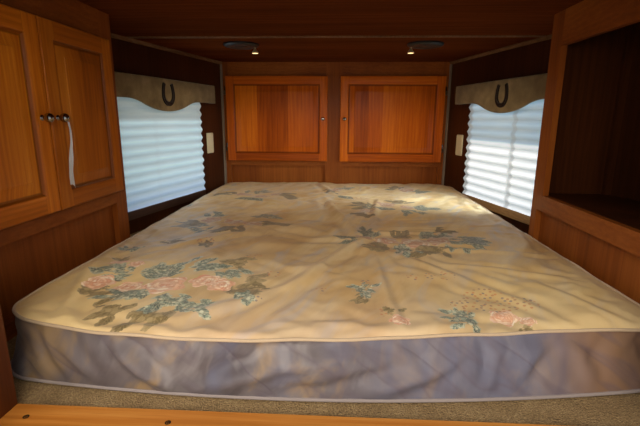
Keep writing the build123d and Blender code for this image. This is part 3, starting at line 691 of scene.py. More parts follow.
def knob_profile():
    """Knob's profile: a foot, a hollow neck and a ball, each an arc of (radius, distance from the door)."""
    t = np.linspace(0, 1, 9)
    foot = np.stack([0.0075 - 0.0025 * t ** 2, 0.0022 * t], 1)
    neck = np.stack([0.0050 - 0.0012 * np.sin(math.pi * t), 0.0022 + 0.0048 * t], 1)
    a = np.radians(np.linspace(26, 178, 20))
    ball = np.stack([0.0119 * np.sin(a), 0.018 - 0.0119 * np.cos(a)], 1)
    return np.concatenate([[(0.0076, 0)], foot, neck, ball])


for name, body, pin_x, pin_y, run, faces_to, width, low, height, tones, boards in DOORS:
    run_x, run_y = run
    out_x, out_y = faces_to

    def from_pin(along, out, up):
        """Points by their run from the hinge pin, their distance in front of it and their height."""
        x = pin_x + along * run_x + out * out_x
        y = pin_y + along * run_y + out * out_y
        return points_of(x, y, up)

    reach = DOOR_EDGE_GAP + width / 2
    middle_at = pin_x + reach * run_x if run_x else pin_y + reach * run_y
    finish = door_wood(name, run, middle_at, width, low, height, tones, boards)
    piece(name + "_panelled", door_shape(from_pin, width, low, height), finish, body, (name,), 25)

    knob_at = DOOR_EDGE_GAP + width - KNOB_IN
    shapes = [turned(knob_profile(), 32, lambda x, y, h: from_pin(knob_at + x, DOOR_FRONT + h, KNOB_HEIGHT + y))]
    for bottom in (low + HINGE_IN, low + height - HINGE_IN - 2 * KNUCKLE):
        start = bottom + KNUCKLE + KNUCKLE_GAP
        shapes.append(turned(KNUCKLE_PROFILE, 24, lambda x, y, h: from_pin(x, y, start + h)))
        leaf_along, leaf_out = np.array([*LEAF_RUN, *LEAF_RUN[::-1]]), np.array([0, 0, LEAF_OUT, LEAF_OUT])
        shapes.append(loft(np.stack([from_pin(leaf_along, leaf_out, start + h) for h in (0, KNUCKLE)])))
    node = name.replace("door", "fittings")
    piece(node + "_turned", joined(shapes), nickel, body, (node,))


# Mattress

MATTRESS_HALF = np.array([0.686, 0.9525])
MATTRESS_AT = np.array([0.025, -0.1135])  # its middle, nearer to the cubby than to the wardrobe
CORNER = 0.085
SEAM_LOW, SEAM_HIGH = 0.1085, 0.2115
TUCK = 0.975             # lower seam's width for the upper one's 1
CELL = 0.013             # the cover's net
BAND_ROWS = 9
BASE = 0.1035            # height of its flat base
RUN_STARTS = (0, 1.75, 3.05, 4.75)    # where the side folds repeat along the seam
WAVES = 26               # weak waves over the top
PIPING = 0.0034          # piping's radius
CLOTH_FRAMES = 20

# Near edges of the upper and lower seams: y is a + b x + c x^2 + d x^3
NEAR_HIGH = (-1.0525, 0.0922, 0.1728, -0.1969)
NEAR_LOW = (-1.0828, 0.0188, 0.1233, 0.0)

# Roses of the printed cloth: x, y, radius
ROSES = [
    (-0.534, -0.824, 0.040), (-0.452, -0.842, 0.036), (-0.369, -0.832, 0.056), (-0.282, -0.805, 0.040),
    (-0.236, -0.830, 0.038), (-0.556, -0.690, 0.030), (-0.500, -0.705, 0.024),
    (-0.360, -0.220, 0.048), (-0.450, -0.190, 0.042), (-0.280, -0.235, 0.040),
    (-0.455, 0.370, 0.050), (-0.355, 0.350, 0.042), (-0.290, 0.400, 0.034),
    (0.130, -0.400, 0.036), (0.200, -0.430, 0.048), (0.285, -0.445, 0.054), (0.365, -0.425, 0.044),
    (0.260, 0.160, 0.045), (0.165, 0.030, 0.040), (0.350, 0.120, 0.036),
    (0.385, -0.945, 0.032), (0.425, -0.965, 0.018), (0.170, -0.985, 0.024), (0.420, 0.600, 0.045),
    (0.020, 0.560, 0.040),
]

# Sprays of leaves: kind, x, y, direction and spread in degrees, leaves, length
SPRAYS = [
    ("teal", -0.500, -0.770, 175, 80, 5, 0.080), ("teal", -0.450, -0.765, 20, 60, 5, 0.075),
    ("teal", -0.330, -0.720, 40, 110, 8, 0.080), ("teal", -0.260, -0.735, 330, 60, 5, 0.075),
    ("teal", -0.430, -0.885, 200, 70, 5, 0.060), ("teal", -0.330, -0.905, 300, 110, 9, 0.070),
    ("teal", -0.270, -0.945, 10, 90, 6, 0.055), ("olive", -0.500, -0.855, 195, 60, 5, 0.045),
    ("olive", -0.450, -0.880, 215, 60, 5, 0.060), ("olive", -0.330, -0.960, 262, 60, 5, 0.085),
    ("olive", -0.215, -0.850, 345, 90, 7, 0.085), ("olive", -0.180, -0.815, 15, 70, 5, 0.075),
    ("teal", -0.175, -0.875, 300, 60, 5, 0.060), ("olive", -0.260, -0.690, 10, 70, 5, 0.070),
    ("olive", -0.560, -0.660, 120, 90, 5, 0.045), ("teal", -0.400, -0.870, 250, 90, 6, 0.065),
    ("teal", -0.390, -0.765, 90, 110, 6, 0.065), ("olive", -0.500, -0.800, 190, 60, 4, 0.050),
    ("olive", -0.400, -0.950, 240, 60, 5, 0.065),
    ("olive", -0.480, -0.235, 190, 90, 8, 0.090), ("teal", -0.430, -0.130, 130, 90, 6, 0.080),
    ("teal", -0.290, -0.130, 40, 90, 8, 0.085), ("olive", -0.230, -0.225, 0, 90, 8, 0.085),
    ("olive", -0.340, -0.300, 270, 110, 9, 0.080), ("teal", -0.430, -0.290, 220, 60, 5, 0.070),
    ("teal", -0.575, -0.540, 200, 160, 7, 0.050), ("olive", -0.520, -0.470, 20, 80, 5, 0.050),
    ("olive", -0.390, -0.490, 330, 80, 5, 0.050),
    ("olive", -0.520, 0.380, 170, 80, 6, 0.090), ("teal", -0.390, 0.290, 260, 100, 7, 0.085),
    ("olive", -0.270, 0.370, 0, 80, 6, 0.090), ("teal", -0.400, 0.440, 90, 110, 6, 0.080),
    ("teal", -0.640, 0.090, 170, 140, 6, 0.050),
    ("olive", 0.180, -0.475, 235, 90, 7, 0.070), ("teal", 0.240, -0.495, 265, 90, 7, 0.070),
    ("olive", 0.320, -0.500, 285, 90, 8, 0.075), ("teal", 0.395, -0.475, 320, 80, 7, 0.070),
    ("teal", 0.430, -0.420, 0, 80, 9, 0.085), ("teal", 0.340, -0.385, 60, 110, 8, 0.075),
    ("olive", 0.250, -0.375, 90, 110, 8, 0.070), ("teal", 0.150, -0.360, 120, 90, 7, 0.070),
    ("teal", 0.100, -0.420, 200, 110, 7, 0.060), ("olive", 0.400, -0.320, 30, 160, 7, 0.070),
    ("teal", 0.230, 0.080, 250, 200, 8, 0.075), ("teal", 0.330, 0.040, 330, 160, 7, 0.075),
    ("teal", 0.100, 0.290, 140, 90, 6, 0.070), ("olive", 0.180, 0.120, 180, 110, 7, 0.080),
    ("olive", 0.150, -0.060, 260, 90, 7, 0.070), ("teal", 0.400, 0.110, 0, 90, 8, 0.085),
    ("olive", 0.300, 0.200, 70, 110, 8, 0.080),
    ("teal", 0.100, -0.835, 180, 300, 11, 0.042), ("olive", 0.100, -0.870, 260, 60, 4, 0.040),
    ("teal", 0.305, -0.955, 160, 240, 12, 0.045), ("olive", 0.410, -0.985, 300, 60, 3, 0.036),
    ("olive", 0.160, -0.960, 110, 60, 4, 0.036),
    ("teal", 0.450, 0.560, 320, 110, 7, 0.080), ("olive", 0.390, 0.640, 140, 110, 7, 0.080),
    ("olive", 0.010, 0.520, 230, 140, 7, 0.070), ("teal", 0.050, 0.600, 40, 110, 6, 0.070),
]

# Sprigs of small dots: x, y, radius
SPRIGS = [
    (0.385, -0.870, 0.062), (0.320, -0.895, 0.030), (0.450, -0.885, 0.034), (0.235, -0.745, 0.018),
    (0.275, -0.735, 0.016), (0.320, -0.728, 0.024), (0.140, -0.945, 0.020), (-0.133, -0.903, 0.012),
    (0.000, -0.845, 0.020), (0.000, 0.150, 0.040), (-0.010, 0.200, 0.030), (0.140, 0.290, 0.045),
    (-0.200, -0.620, 0.026), (-0.390, -0.465, 0.032), (0.110, -0.790, 0.020), (-0.120, -0.755, 0.020),
]

# Creases of the top: start x, start y, end x, end y, width, depth
TOP_CREASES = [
    (0.13, -0.42, -0.17, -1.04, 0.018, 0.0050), (0.14, -0.50, 0.17, -1.02, 0.011, 0.0034),
    (0.10, -0.45, -0.05, -0.80, 0.014, 0.0030), (0.02, -0.72, -0.30, -1.03, 0.022, 0.0036),
    (0.14, -0.46, 0.66, -0.55, 0.018, 0.0042), (0.16, -0.32, 0.67, -0.36, 0.016, 0.0036),
    (0.20, -0.25, 0.66, -0.24, 0.014, 0.0034), (0.22, -0.14, 0.66, -0.10, 0.013, 0.0030),
    (0.16, -0.38, 0.24, 0.32, 0.016, 0.0032), (0.10, -0.40, -0.02, 0.30, 0.018, 0.0028),
    (0.30, -0.62, 0.62, -0.74, 0.016, 0.0030), (0.25, -0.58, 0.50, -0.98, 0.016, 0.0022),
    (-0.62, -0.72, -0.52, -1.00, 0.014, 0.0030), (-0.20, -0.30, -0.62, -0.62, 0.026, 0.0018),
    (0.54, -0.80, 0.62, -0.98, 0.012, 0.0026),
    (0.22, 0.02, 0.66, 0.12, 0.015, 0.0030), (0.24, 0.22, 0.66, 0.34, 0.015, 0.0026),
    (-0.20, 0.20, -0.60, 0.30, 0.022, 0.0018), (0.02, 0.40, -0.10, 0.78, 0.020, 0.0024),
]

# Folds of the near side: start along the edge from its left end, start height, end, end height, width, depth
SIDE_FOLDS = [
    (0.09, 0.205, 0.17, 0.115, 0.010, -0.0087), (0.15, 0.208, 0.24, 0.125, 0.012, 0.0087),
    (0.26, 0.206, 0.40, 0.116, 0.014, 0.0159), (0.42, 0.116, 0.78, 0.206, 0.016, 0.0174),
    (0.56, 0.112, 0.80, 0.150, 0.012, -0.0087), (0.74, 0.116, 0.94, 0.170, 0.014, 0.0130),
    (0.80, 0.206, 0.86, 0.160, 0.012, 0.0072), (0.90, 0.165, 0.98, 0.206, 0.010, 0.0087),
    (0.985, 0.208, 0.975, 0.120, 0.009, -0.0101), (1.02, 0.206, 1.00, 0.170, 0.010, 0.0087),
    (1.10, 0.206, 1.05, 0.140, 0.012, 0.0101), (1.16, 0.200, 1.20, 0.120, 0.014, 0.0072),
    (1.07, 0.208, 1.03, 0.172, 0.008, 0.0060), (1.13, 0.208, 1.08, 0.166, 0.008, 0.0060),
    (1.22, 0.208, 1.16, 0.160, 0.009, 0.0060), (1.30, 0.208, 1.26, 0.180, 0.008, 0.0050),
    (0.33, 0.200, 0.36, 0.150, 0.010, -0.0058), (0.50, 0.200, 0.56, 0.165, 0.012, 0.0058),
]


def near_edge(law, x):
    """A seam's near edge at x, by its cubic law."""
    return law[0] + law[1] * x + law[2] * x ** 2 + law[3] * x ** 3


def mattress_grid():
    """The rounded plan as a net of squares: a square corner block bends to a quarter disc.

    There a point at shares (a, b) of the block moves to (a * sqrt(1 - b * b / 2), b * sqrt(1 - a * a / 2))."""
    counts = np.round(2 * MATTRESS_HALF / CELL).astype(int)
    x, y = (np.linspace(-half, half, count + 1) for half, count in zip(MATTRESS_HALF, counts))
    x, y = np.meshgrid(x, y, indexing="ij")
    core = MATTRESS_HALF - CORNER
    a, b = np.clip((abs(x) - core[0]) / CORNER, 0, 1), np.clip((abs(y) - core[1]) / CORNER, 0, 1)
    bent_a, bent_b = a * np.sqrt(1 - b * b / 2), b * np.sqrt(1 - a * a / 2)
    x = np.sign(x) * (np.minimum(abs(x), core[0]) + bent_a * CORNER)
    y = np.sign(y) * (np.minimum(abs(y), core[1]) + bent_b * CORNER)
    return x, y


def edge_distance(x, y):
    """How far a point lies inside the rounded plan."""
    qx, qy = abs(x) - (MATTRESS_HALF[0] - CORNER), abs(y) - (MATTRESS_HALF[1] - CORNER)
    outer = np.hypot(np.maximum(qx, 0), np.maximum(qy, 0)) + np.minimum(np.maximum(qx, qy), 0)
    return CORNER - outer


def placed(x, y, law):
    """Plan points put in the berth, pushed back towards the near edge by the seam's law.

    The push fades by the cube of the distance from the mattress's middle."""
    push = near_edge(law, x + MATTRESS_AT[0]) + MATTRESS_HALF[1] - MATTRESS_AT[1]
    return x + MATTRESS_AT[0], y + MATTRESS_AT[1] + push * np.clip(-y / MATTRESS_HALF[1], 0, 1) ** 3


def crease(u, v, start, end, width, depth):
    """A fold along a gently bent line: its section is a bell beside a smaller bell of the other sign."""
    start, end = np.array(start), np.array(end)
    length = np.hypot(*(end - start))
    along = (end - start) / length
    t = (u - start[0]) * along[0] + (v - start[1]) * along[1]
    s = (u - start[0]) * -along[1] + (v - start[1]) * along[0]
    s = s + 0.10 * width * np.sin(t * 37 + start[0] * 40) + 0.35 * width * np.sin(t * 9 + start[1] * 30)
    ends = np.clip(t / (0.25 * length), 0, 1) * np.clip((length - t) / (0.25 * length), 0, 1)
    return depth * ends * (np.exp(-(s / width) ** 2) - 0.7 * np.exp(-((s - 1.6 * width) / width) ** 2))


def mattress_shape():
    """The cover: a crowned top and a side band that bulges between seams, open below.

    The top rises from its seam by 7.5 mm over the first few centimetres, then slowly by up to 5 more, plus
    weak sine waves in chance directions and the creases. The band stands out by a half sine between
    the seams, dips under the upper piping, tucks in at the two near corners and carries the folds. Also
    returns the points of the upper and the lower seam in order, and which points are the band's."""
    x, y = mattress_grid()
    inside = edge_distance(x, y)
    free = np.clip(inside / 0.05, 0, 1)
    top_x, top_y = placed(x, y, NEAR_HIGH)
    crown = 0.0075 * (1 - np.exp(-inside / 0.022)) + 0.005 * (1 - np.exp(-inside / 0.30))
    rng = np.random.default_rng(11)
    for _ in range(WAVES):
        wave, turn, start = rng.uniform(9, 34), rng.uniform(0, math.pi), rng.uniform(0, 6.3)
        crown = crown + 0.011 / wave * np.sin(wave * (x * math.cos(turn) + y * math.sin(turn)) + start) * free
    for x0, y0, x1, y1, width, depth in TOP_CREASES:
        crown = crown + crease(top_x, top_y, (x0, y0), (x1, y1), width, depth) * free
    points, faces = grid(np.stack([top_x, top_y, SEAM_HIGH + crown], -1))
    index = np.arange(len(points)).reshape(x.shape)
    rim = np.concatenate([index[:, 0], index[-1, 1:], index[-2::-1, -1], index[0, -2:0:-1]])
    low_x, low_y = placed(x, y, NEAR_LOW)
    low_x = MATTRESS_AT[0] + (low_x - MATTRESS_AT[0]) * TUCK
    high, low = points[rim, :2], np.stack([low_x, low_y], -1).reshape(-1, 2)[rim]
    ahead = np.roll(high, -1, 0) - np.roll(high, 1, 0)
    square = np.stack([ahead[:, 1], -ahead[:, 0]], 1) / np.linalg.norm(ahead, axis=1, keepdims=True)
    around = np.concatenate([[0], np.cumsum(np.hypot(*(np.roll(high, -1, 0) - high).T))[:-1]])
    points[rim, 2] += 0.0010 * np.sin(around * 23) + 0.0008 * np.sin(around * 41 + 1)

    t = np.arange(1, BAND_ROWS + 1)[:, None] / BAND_ROWS
    height = SEAM_HIGH + (SEAM_LOW - SEAM_HIGH) * t + 0 * around
    bulge = np.sin(math.pi * t)
    stand = 0.0055 * bulge * (1 + 0.35 * np.sin(around * 9) + 0.25 * np.sin(around * 17 + 2))
    stand = stand - 0.0045 * np.exp(-((t - 0.1) / 0.09) ** 2)
    corner = np.clip((np.abs(high[:, 0] - MATTRESS_AT[0]) - 0.56) / 0.08, 0, 1)
    corner = corner * np.clip((-0.80 - high[:, 1]) / 0.10, 0, 1)
    stand = stand - 0.012 * bulge * corner
    for s0, z0, s1, z1, width, depth in SIDE_FOLDS:
        for shift in RUN_STARTS:
            stand = stand + crease(around + 0 * t, height, (s0 + shift, z0), (s1 + shift, z1), width, depth) \
                * np.abs(bulge) ** 0.4
    plan = high + (low - high) * t[..., None] + square * stand[..., None]
    base = low - square * 0.015
    band = np.concatenate([plan, base[None]])
    band = np.concatenate([band, np.concatenate([height, height[-1:] * 0 + BASE])[..., None]], -1)
    count = len(points)
    rows = count + np.arange((BAND_ROWS + 1) * len(rim)).reshape(BAND_ROWS + 1, -1)
    rings = np.concatenate([rim[None], rows])
    faces = faces + quads_over(np.concatenate([rings, rings[:, :1]], 1))
    points = np.concatenate([points, band.reshape(-1, 3)])
    return (points, faces), rings[0], rings[BAND_ROWS], np.arange(len(points)) >= count


def mesh_points(mesh):
    """A mesh's points as an array."""
    flat = np.empty(len(mesh.vertices) * 3)
    mesh.vertices.foreach_get("co", flat)
    return flat.reshape(-1, 3)


def take_modifiers(made):
    """Applies a piece's modifiers to its mesh."""
    seen = made.evaluated_get(bpy.context.evaluated_depsgraph_get())
    mesh = bpy.data.meshes.new_from_object(seen)
    made.modifiers.clear()
    made.data = mesh


def wrinkle(made, seams, cap=0.010):
    """Lets the cover settle as cloth cut a little too wide, over padding that holds it softly.

    Seams are held fast. Gravity is off, a slight pressure fills it, and no point may move further than cap."""
    before = mesh_points(made.data)
    held = made.vertex_groups.new(name="held")
    held.add(list(range(len(before))), 0.15, "REPLACE")
    held.add(seams.tolist(), 1.0, "REPLACE")
    cover = made.modifiers.new("cover", "CLOTH")
    laws = cover.settings
    for key, value in {
            "quality": 5, "mass": 0.3, "tension_stiffness": 15, "compression_stiffness": 15, "shear_stiffness": 5,
            "bending_stiffness": 0.1, "vertex_group_mass": "held", "pin_stiffness": 1, "use_pressure": True,
            "uniform_pressure_force": 0.08, "shrink_min": -0.022}.items():
        setattr(laws, key, value)
    laws.effector_weights.gravity = 0
    cover.collision_settings.use_collision = False
    cover.point_cache.frame_start, cover.point_cache.frame_end = 1, CLOTH_FRAMES
    for moment in range(1, CLOTH_FRAMES + 1):
        bpy.context.scene.frame_set(moment)
    take_modifiers(made)
    bpy.context.scene.frame_set(1)
    moved = mesh_points(made.data) - before
    reach = np.linalg.norm(moved, axis=1, keepdims=True)
    after = before + moved * np.minimum(1, cap / np.maximum(reach, 1e-9))
    made.data.vertices.foreach_set("co", after.ravel())
    made.vertex_groups.clear()


def refine(made, seams):
    """One Catmull-Clark step, which keeps the seams where they are, then a flat base across the open side."""
    mesh = made.data
    ends = np.empty(len(mesh.edges) * 2, int)
    mesh.edges.foreach_get("vertices", ends)
    kept = np.isin(ends, seams).reshape(-1, 2).all(1)
    mesh.attributes.new("crease_edge", "FLOAT", "EDGE").data.foreach_set("value", kept.astype(np.float32))
    finer = made.modifiers.new("finer", "SUBSURF")
    finer.levels = finer.render_levels = 1
    take_modifiers(made)
    closed = bmesh.new()
    closed.from_mesh(made.data)
    bmesh.ops.holes_fill(closed, edges=[edge for edge in closed.edges if edge.is_boundary], sides=0)
    closed.to_mesh(made.data)
    closed.free()


OFF = -0.03              # a print's value at points well outside it


def printed_flowers(u, v):
    """How far each point lies inside a rose, a leaf of each kind or a sprig, and its place within it.

    A rose is a disc whose radius waves five times round. A leaf's half width falls off as one minus the
    square of the share of its half length, and small teeth notch it. Far from all of them a point gets OFF."""
    rose, rose_at = np.full(len(u), OFF), np.zeros((len(u), 3))
    for number, (x, y, radius) in enumerate(ROSES):
        dx, dy = u - x, v - y
        value = radius * (0.9 + 0.13 * np.cos(5 * np.arctan2(dy, dx) + number)) - np.hypot(dx, dy)
        nearer = value > rose
        rose = np.maximum(rose, value)
        rose_at[nearer] = np.stack([dx / radius, dy / radius, 0 * dx + number * 0.37], 1)[nearer]
    rng = np.random.default_rng(5)
    leaves = {kind: np.full(len(u), OFF) for kind in ("teal", "olive")}
    leaf_at = np.zeros((len(u), 3))
    nearest = np.full(len(u), OFF)
    for kind, x, y, direction, spread, count, length in SPRAYS:
        near = np.nonzero((np.abs(u - x) < 0.2) & (np.abs(v - y) < 0.2))[0]
        dx, dy = u[near] - x, v[near] - y
        for k in range(2 * count):
            turn = math.radians(direction + spread * ((k + 0.5) / count / 2 - 0.5) + rng.uniform(-16, 16))
            size = length * rng.uniform(0.45, 0.95)
            root, aside = rng.uniform(-0.4, 0.6) * length, rng.uniform(-0.35, 0.35) * length
            a = dx * math.cos(turn) + dy * math.sin(turn) - root - size / 2
            b = -dx * math.sin(turn) + dy * math.cos(turn) - aside
            value = size * 0.21 * (1 - (2 * a / size) ** 2) - abs(b + 0.1 * size * np.sin(a / size * 4)) \
                - 0.0010 * np.sin(a * 420)
            leaves[kind][near] = np.maximum(leaves[kind][near], value)
            nearer = value > nearest[near]
            nearest[near] = np.maximum(nearest[near], value)
            leaf_at[near[nearer]] = np.stack([a / size, b / size, 0 * a + k * 0.37], 1)[nearer]
    sprig = np.full(len(u), OFF)
    for x, y, reach in SPRIGS:
        sprig = np.maximum(sprig, reach - np.hypot(u - x, v - y))
    return {"rose": rose, "rose_at": rose_at, "teal": leaves["teal"], "olive": leaves["olive"],
            "leaf_at": leaf_at, "sprig": sprig}


def painted(f, where, scale, stops, line, dark):
    """Brushed print: cells of a voronoi pattern, each in a tone of its own, with darker lines between them."""
    tone, edge = f.node("TexVoronoi", {"feature": "F1"}, {"Vector": where, "Scale": scale}, ("Color", "Distance"))
    pick, second, _ = f.split(tone)
    colour = f.ramp(pick * 0.75 + second * 0.25, *stops)
    return f.mix(((edge - line) * 7).clip() * 0.55, colour, dark)


def ticking_finish():
    """Printed damask ticking: a mottled satin ground with roses, leaves and sprigs whose edges noise breaks up,
    and painted satin sheen in yellow and lavender patches and streaks.

    The ground is lighter along the near edge, with painted light, yellower, at its near corners, and the
    print darkens further in as painted shade. The side band, told apart by a fact of its points, is greyer
    cloth with painted shade: darker tones, a darker left end and dark lines along its folds. It is bluer
    right of the middle and browner at its right end."""
    f = Finish("mattress_ticking", specular_ior_level=0.3, sheen_weight=0.06, sheen_roughness=0.4)
    side = f.fact("flank") > 0.02
    flat = f.vector(f.x, f.y, 0.0)
    upright_place = f.vector(f.x + f.y * 0.6, f.z * 1.6, f.y * 0.5)
    place = f.node("Mix", {"data_type": "VECTOR"}, {0: side, 4: flat, 5: upright_place}, 1)
    u, v, _ = f.split(place)
    swept = f.vector(u * 0.9 - v * 0.4, (v * 0.9 + u * 0.4) * 0.34, 0.0)
    cloud = f.noise(swept, 9.5, 4, 0.55, 0.7)
    # Painted satin sheen: these two noises lay yellow and lavender patches and streaks on the ground, and bluish
    # and lavender ones on the band.
    sheen_patches = f.noise(swept, 5.1, 3, 0.5, 1.0)
    sheen_streaks = f.noise(swept, 12.3, 3, 0.55, 0.9)
    ground = f.ramp(cloud, (0.30, (176, 136, 84)), (0.45, (196, 160, 108)),
                    (0.58, (208, 178, 130)), (0.78, (184, 150, 114)))
    ground = f.mix(((sheen_patches - 0.52) * 6).clip() * 0.55, ground, (198, 152, 86))
    ground = f.mix(((sheen_streaks - 0.55) * 7).clip() * 0.62, ground, (176, 164, 156))
    ground = f.mix(((-0.84 - f.y) / 0.20).clip() * 0.42, ground, (216, 184, 152))
    # Painted light: the ground turns lighter and yellower at the two near corners.
    painted_light_right = ((f.x - 0.15) / 0.30).clip() * ((-0.50 - f.y) / 0.30).clip()
    painted_light_left = ((-0.22 - f.x) / 0.25).clip() * ((-0.48 - f.y) / 0.25).clip()
    ground = f.mix(painted_light_right * 0.5 + painted_light_left * 0.7, ground, (232, 200, 136))
    # The band: greyer cloth, with painted shade that keeps its tones darker than the top's.
    flank = f.ramp(cloud, (0.30, (88, 78, 78)), (0.5, (110, 99, 96)),
                   (0.64, (150, 122, 88)))
    flank = f.mix(((sheen_patches - 0.5) * 6).clip() * 0.55, flank, (96, 98, 118))
    flank = f.mix(((sheen_streaks - 0.55) * 7).clip() * 0.5, flank, (150, 140, 134))
    flank = f.mix(((f.x - 0.02) / 0.30).clip() * 0.5, flank, (98, 100, 120))
    flank = f.mix(((f.x - 0.42) / 0.12).clip() * 0.75, flank, (132, 94, 56))
    # Painted shade: darker towards the band's left end.
    flank = f.mix(((-0.20 - f.x) / 0.25).clip() * 0.22, flank, (74, 54, 40))
    colour = f.mix(side, ground, flank)
    fold_run = f.vector((f.x + f.y * 0.6) * 1.1 + f.z * 1.3, f.z * 0.7, 3.0)
    fold_line = (1 - abs(f.noise(fold_run, 7.5, 2, 0.5) - 0.5) * 26).clip() * side
    # Painted shade: dark lines along the band's folds.
    colour = f.mix(fold_line * 0.4, colour, (92, 78, 84))
    fray = (f.noise(place, 150, 3, 0.7) - 0.5) * 0.013
    wander = f.noise(place, 60, 2, 0.5)

    def printed(label):
        """How fully a print covers, by its fact with a frayed edge."""
        return ((f.fact(label) + fray) / 0.0012).clip() * (1 - side)

    leaf_a, leaf_b, leaf_k = f.split(f.fact("leaf_at", "Vector"))
    rim = (abs(leaf_b) + leaf_a * leaf_a * 0.84) > 0.158
    veins = ((leaf_a * 40 - abs(leaf_b) * 55 + leaf_k * 9).math("SINE") > 0.5) + (abs(leaf_b) < 0.025)
    teal = painted(f, place, 120, ((0.10, (62, 84, 80)), (0.40, (92, 118, 108)), (0.62, (128, 148, 130)),
                                   (0.82, (206, 204, 172))), 0.42, (48, 64, 62))
    teal = f.mix((veins * 0.3 + rim * 0.55).clip(), teal, (214, 206, 172))
    olive = painted(f, place, 70, ((0.15, (112, 96, 58)), (0.5, (138, 118, 76)), (0.85, (166, 144, 100))),
                    0.5, (88, 74, 46))
    olive = f.mix((veins * 0.2 + rim * 0.3).clip(), olive, (192, 164, 122))
    rose_x, rose_y, rose_k = f.split(f.fact("rose_at", "Vector"))
    reach = (rose_x * rose_x + rose_y * rose_y).math("SQRT")
    turn = rose_y.math("ARCTAN2", rose_x)
    petals = f.vector(turn * 0.62 + reach * 1.4 + wander, reach * 2.7 + wander * 0.8, rose_k)
    rose = painted(f, petals, 2.0, ((0.08, (226, 152, 118)), (0.32, (244, 194, 154)), (0.60, (252, 220, 184)),
                                    (0.88, (254, 236, 208))), 0.40, (206, 138, 106))
    rose = f.mix((0.32 - reach).clip() * 1.6, rose, (220, 140, 108))
    # Painted shade: the print darkens further in.
    painted_shade_far = ((f.y + 0.62) / 0.20).clip() * 0.5
    for label, paint in (("olive", olive), ("teal", teal), ("rose", rose)):
        colour = f.mix(printed(label) * 0.9, colour, f.mix(painted_shade_far, paint, (84, 68, 58)))
    dot_tone, dot_far = f.node("TexVoronoi", {"voronoi_dimensions": "2D", "feature": "F1"},
                               {"Vector": place, "Scale": 84}, ("Color", "Distance"))
    pick, kept, _ = f.split(dot_tone)
    dots = ((0.30 - dot_far) * 14).clip() * (f.fact("sprig") > 0) * (kept > 0.22) * (1 - side)
    colour = f.mix(dots * 0.8, colour, f.ramp(pick, (0.3, (200, 128, 76)), (0.6, (176, 120, 84)),
                                              (0.8, (132, 112, 110))))
    weave = f.noise(f.stretched(place, (900, 260, 900)), 1, 1)
    f.feed(base_color=colour, roughness=0.40 + weave * 0.12 + cloud * 0.08)
    f.bump(weave * 0.25 + f.noise(place, 34, 3) * 1.0 - fold_line * 1.6, 0.30, 0.0012)
    return f


cover_shape, high_seam, low_seam, flank = mattress_shape()
mattress = piece("mattress_ticking_cover", cover_shape, ticking_finish(),
                 stands_for=("mattress",), crease=70, facts={"flank": flank})
both_seams = np.concatenate([high_seam, low_seam])
wrinkle(mattress, both_seams)
seam_lines = [mesh_points(mattress.data)[ring] for ring in (high_seam, low_seam)]
refine(mattress, both_seams)
add_facts(mattress.data, printed_flowers(*mesh_points(mattress.data)[:, :2].T))


def piping_finish():
    """Binding tape: pale cloth with a fine weave, darker and greyer on the lower seam as painted shade."""
    f = Finish("piping_tape", roughness=0.6, sheen_weight=0.15)
    weave = f.noise(f.where, 800, 1)
    low = f.z < 0.15
    pale = f.mix(weave * 0.7 + f.noise(f.where, 12, 2) * 0.3, (204, 176, 140), (172, 144, 112))
    # Painted shade on the lower seam, low under the band.
    f.feed(base_color=f.mix(low * 0.8, pale, (132, 122, 122)))
    f.bump(weave, 0.4, 0.0004)
    return f


def piping_path(line):
    """A seam's line made twice as fine: points become (before + 6 * here + after) / 8, with midpoints between."""
    after = np.roll(line, -1, 0)
    return np.stack([(np.roll(line, 1, 0) + 6 * line + after) / 8, (line + after) / 2], 1).reshape(-1, 3)


piping = piece("mattress_piping", joined([tube(piping_path(line), PIPING, 10) for line in seam_lines]),
               piping_finish())


# Pleated shades

SHADE_LOW, SHADE_DROP, SHADE_HALF = 0.2083, 0.55, 0.32
PLEATS = 13
SHADE_THICK = 0.0009


def shade_surface(side):
    """A shade's cloth by its run along the wall and its folds.

    Height climbs evenly with the fold count t, and the stand-off swings by an arcsine of a sine of pi * t,
    which is a zigzag with eased folds. Slow waves loosen the folds a little along the window."""
    pitch = SHADE_DROP / PLEATS
    t = np.linspace(0, 2 * PLEATS, 2 * PLEATS * 8 + 1)
    s = np.linspace(-SHADE_HALF, SHADE_HALF, 61)
    s, t = np.meshgrid(s, t, indexing="ij")
    loose = 0.0007 * np.sin(s * 23 + t * 1.7 + side) + 0.0005 * np.sin(s * 51 - t * 0.9)
    swing = 0.0062 * (2 / math.pi) * np.arcsin(0.985 * np.sin(math.pi * (t + 0.5)))
    off = 0.014 + np.clip(swing + loose, -0.0064, 0.0064)
    up = SHADE_LOW + 0.0002 + (t * pitch / 2) * (0.5496 / 0.55) + 0.0004 * np.sin(s * 31 + t)
    up = np.clip(up, SHADE_LOW, SHADE_LOW + SHADE_DROP)
    return on_wall(side, WINDOW_Y, s, up, off), s, t


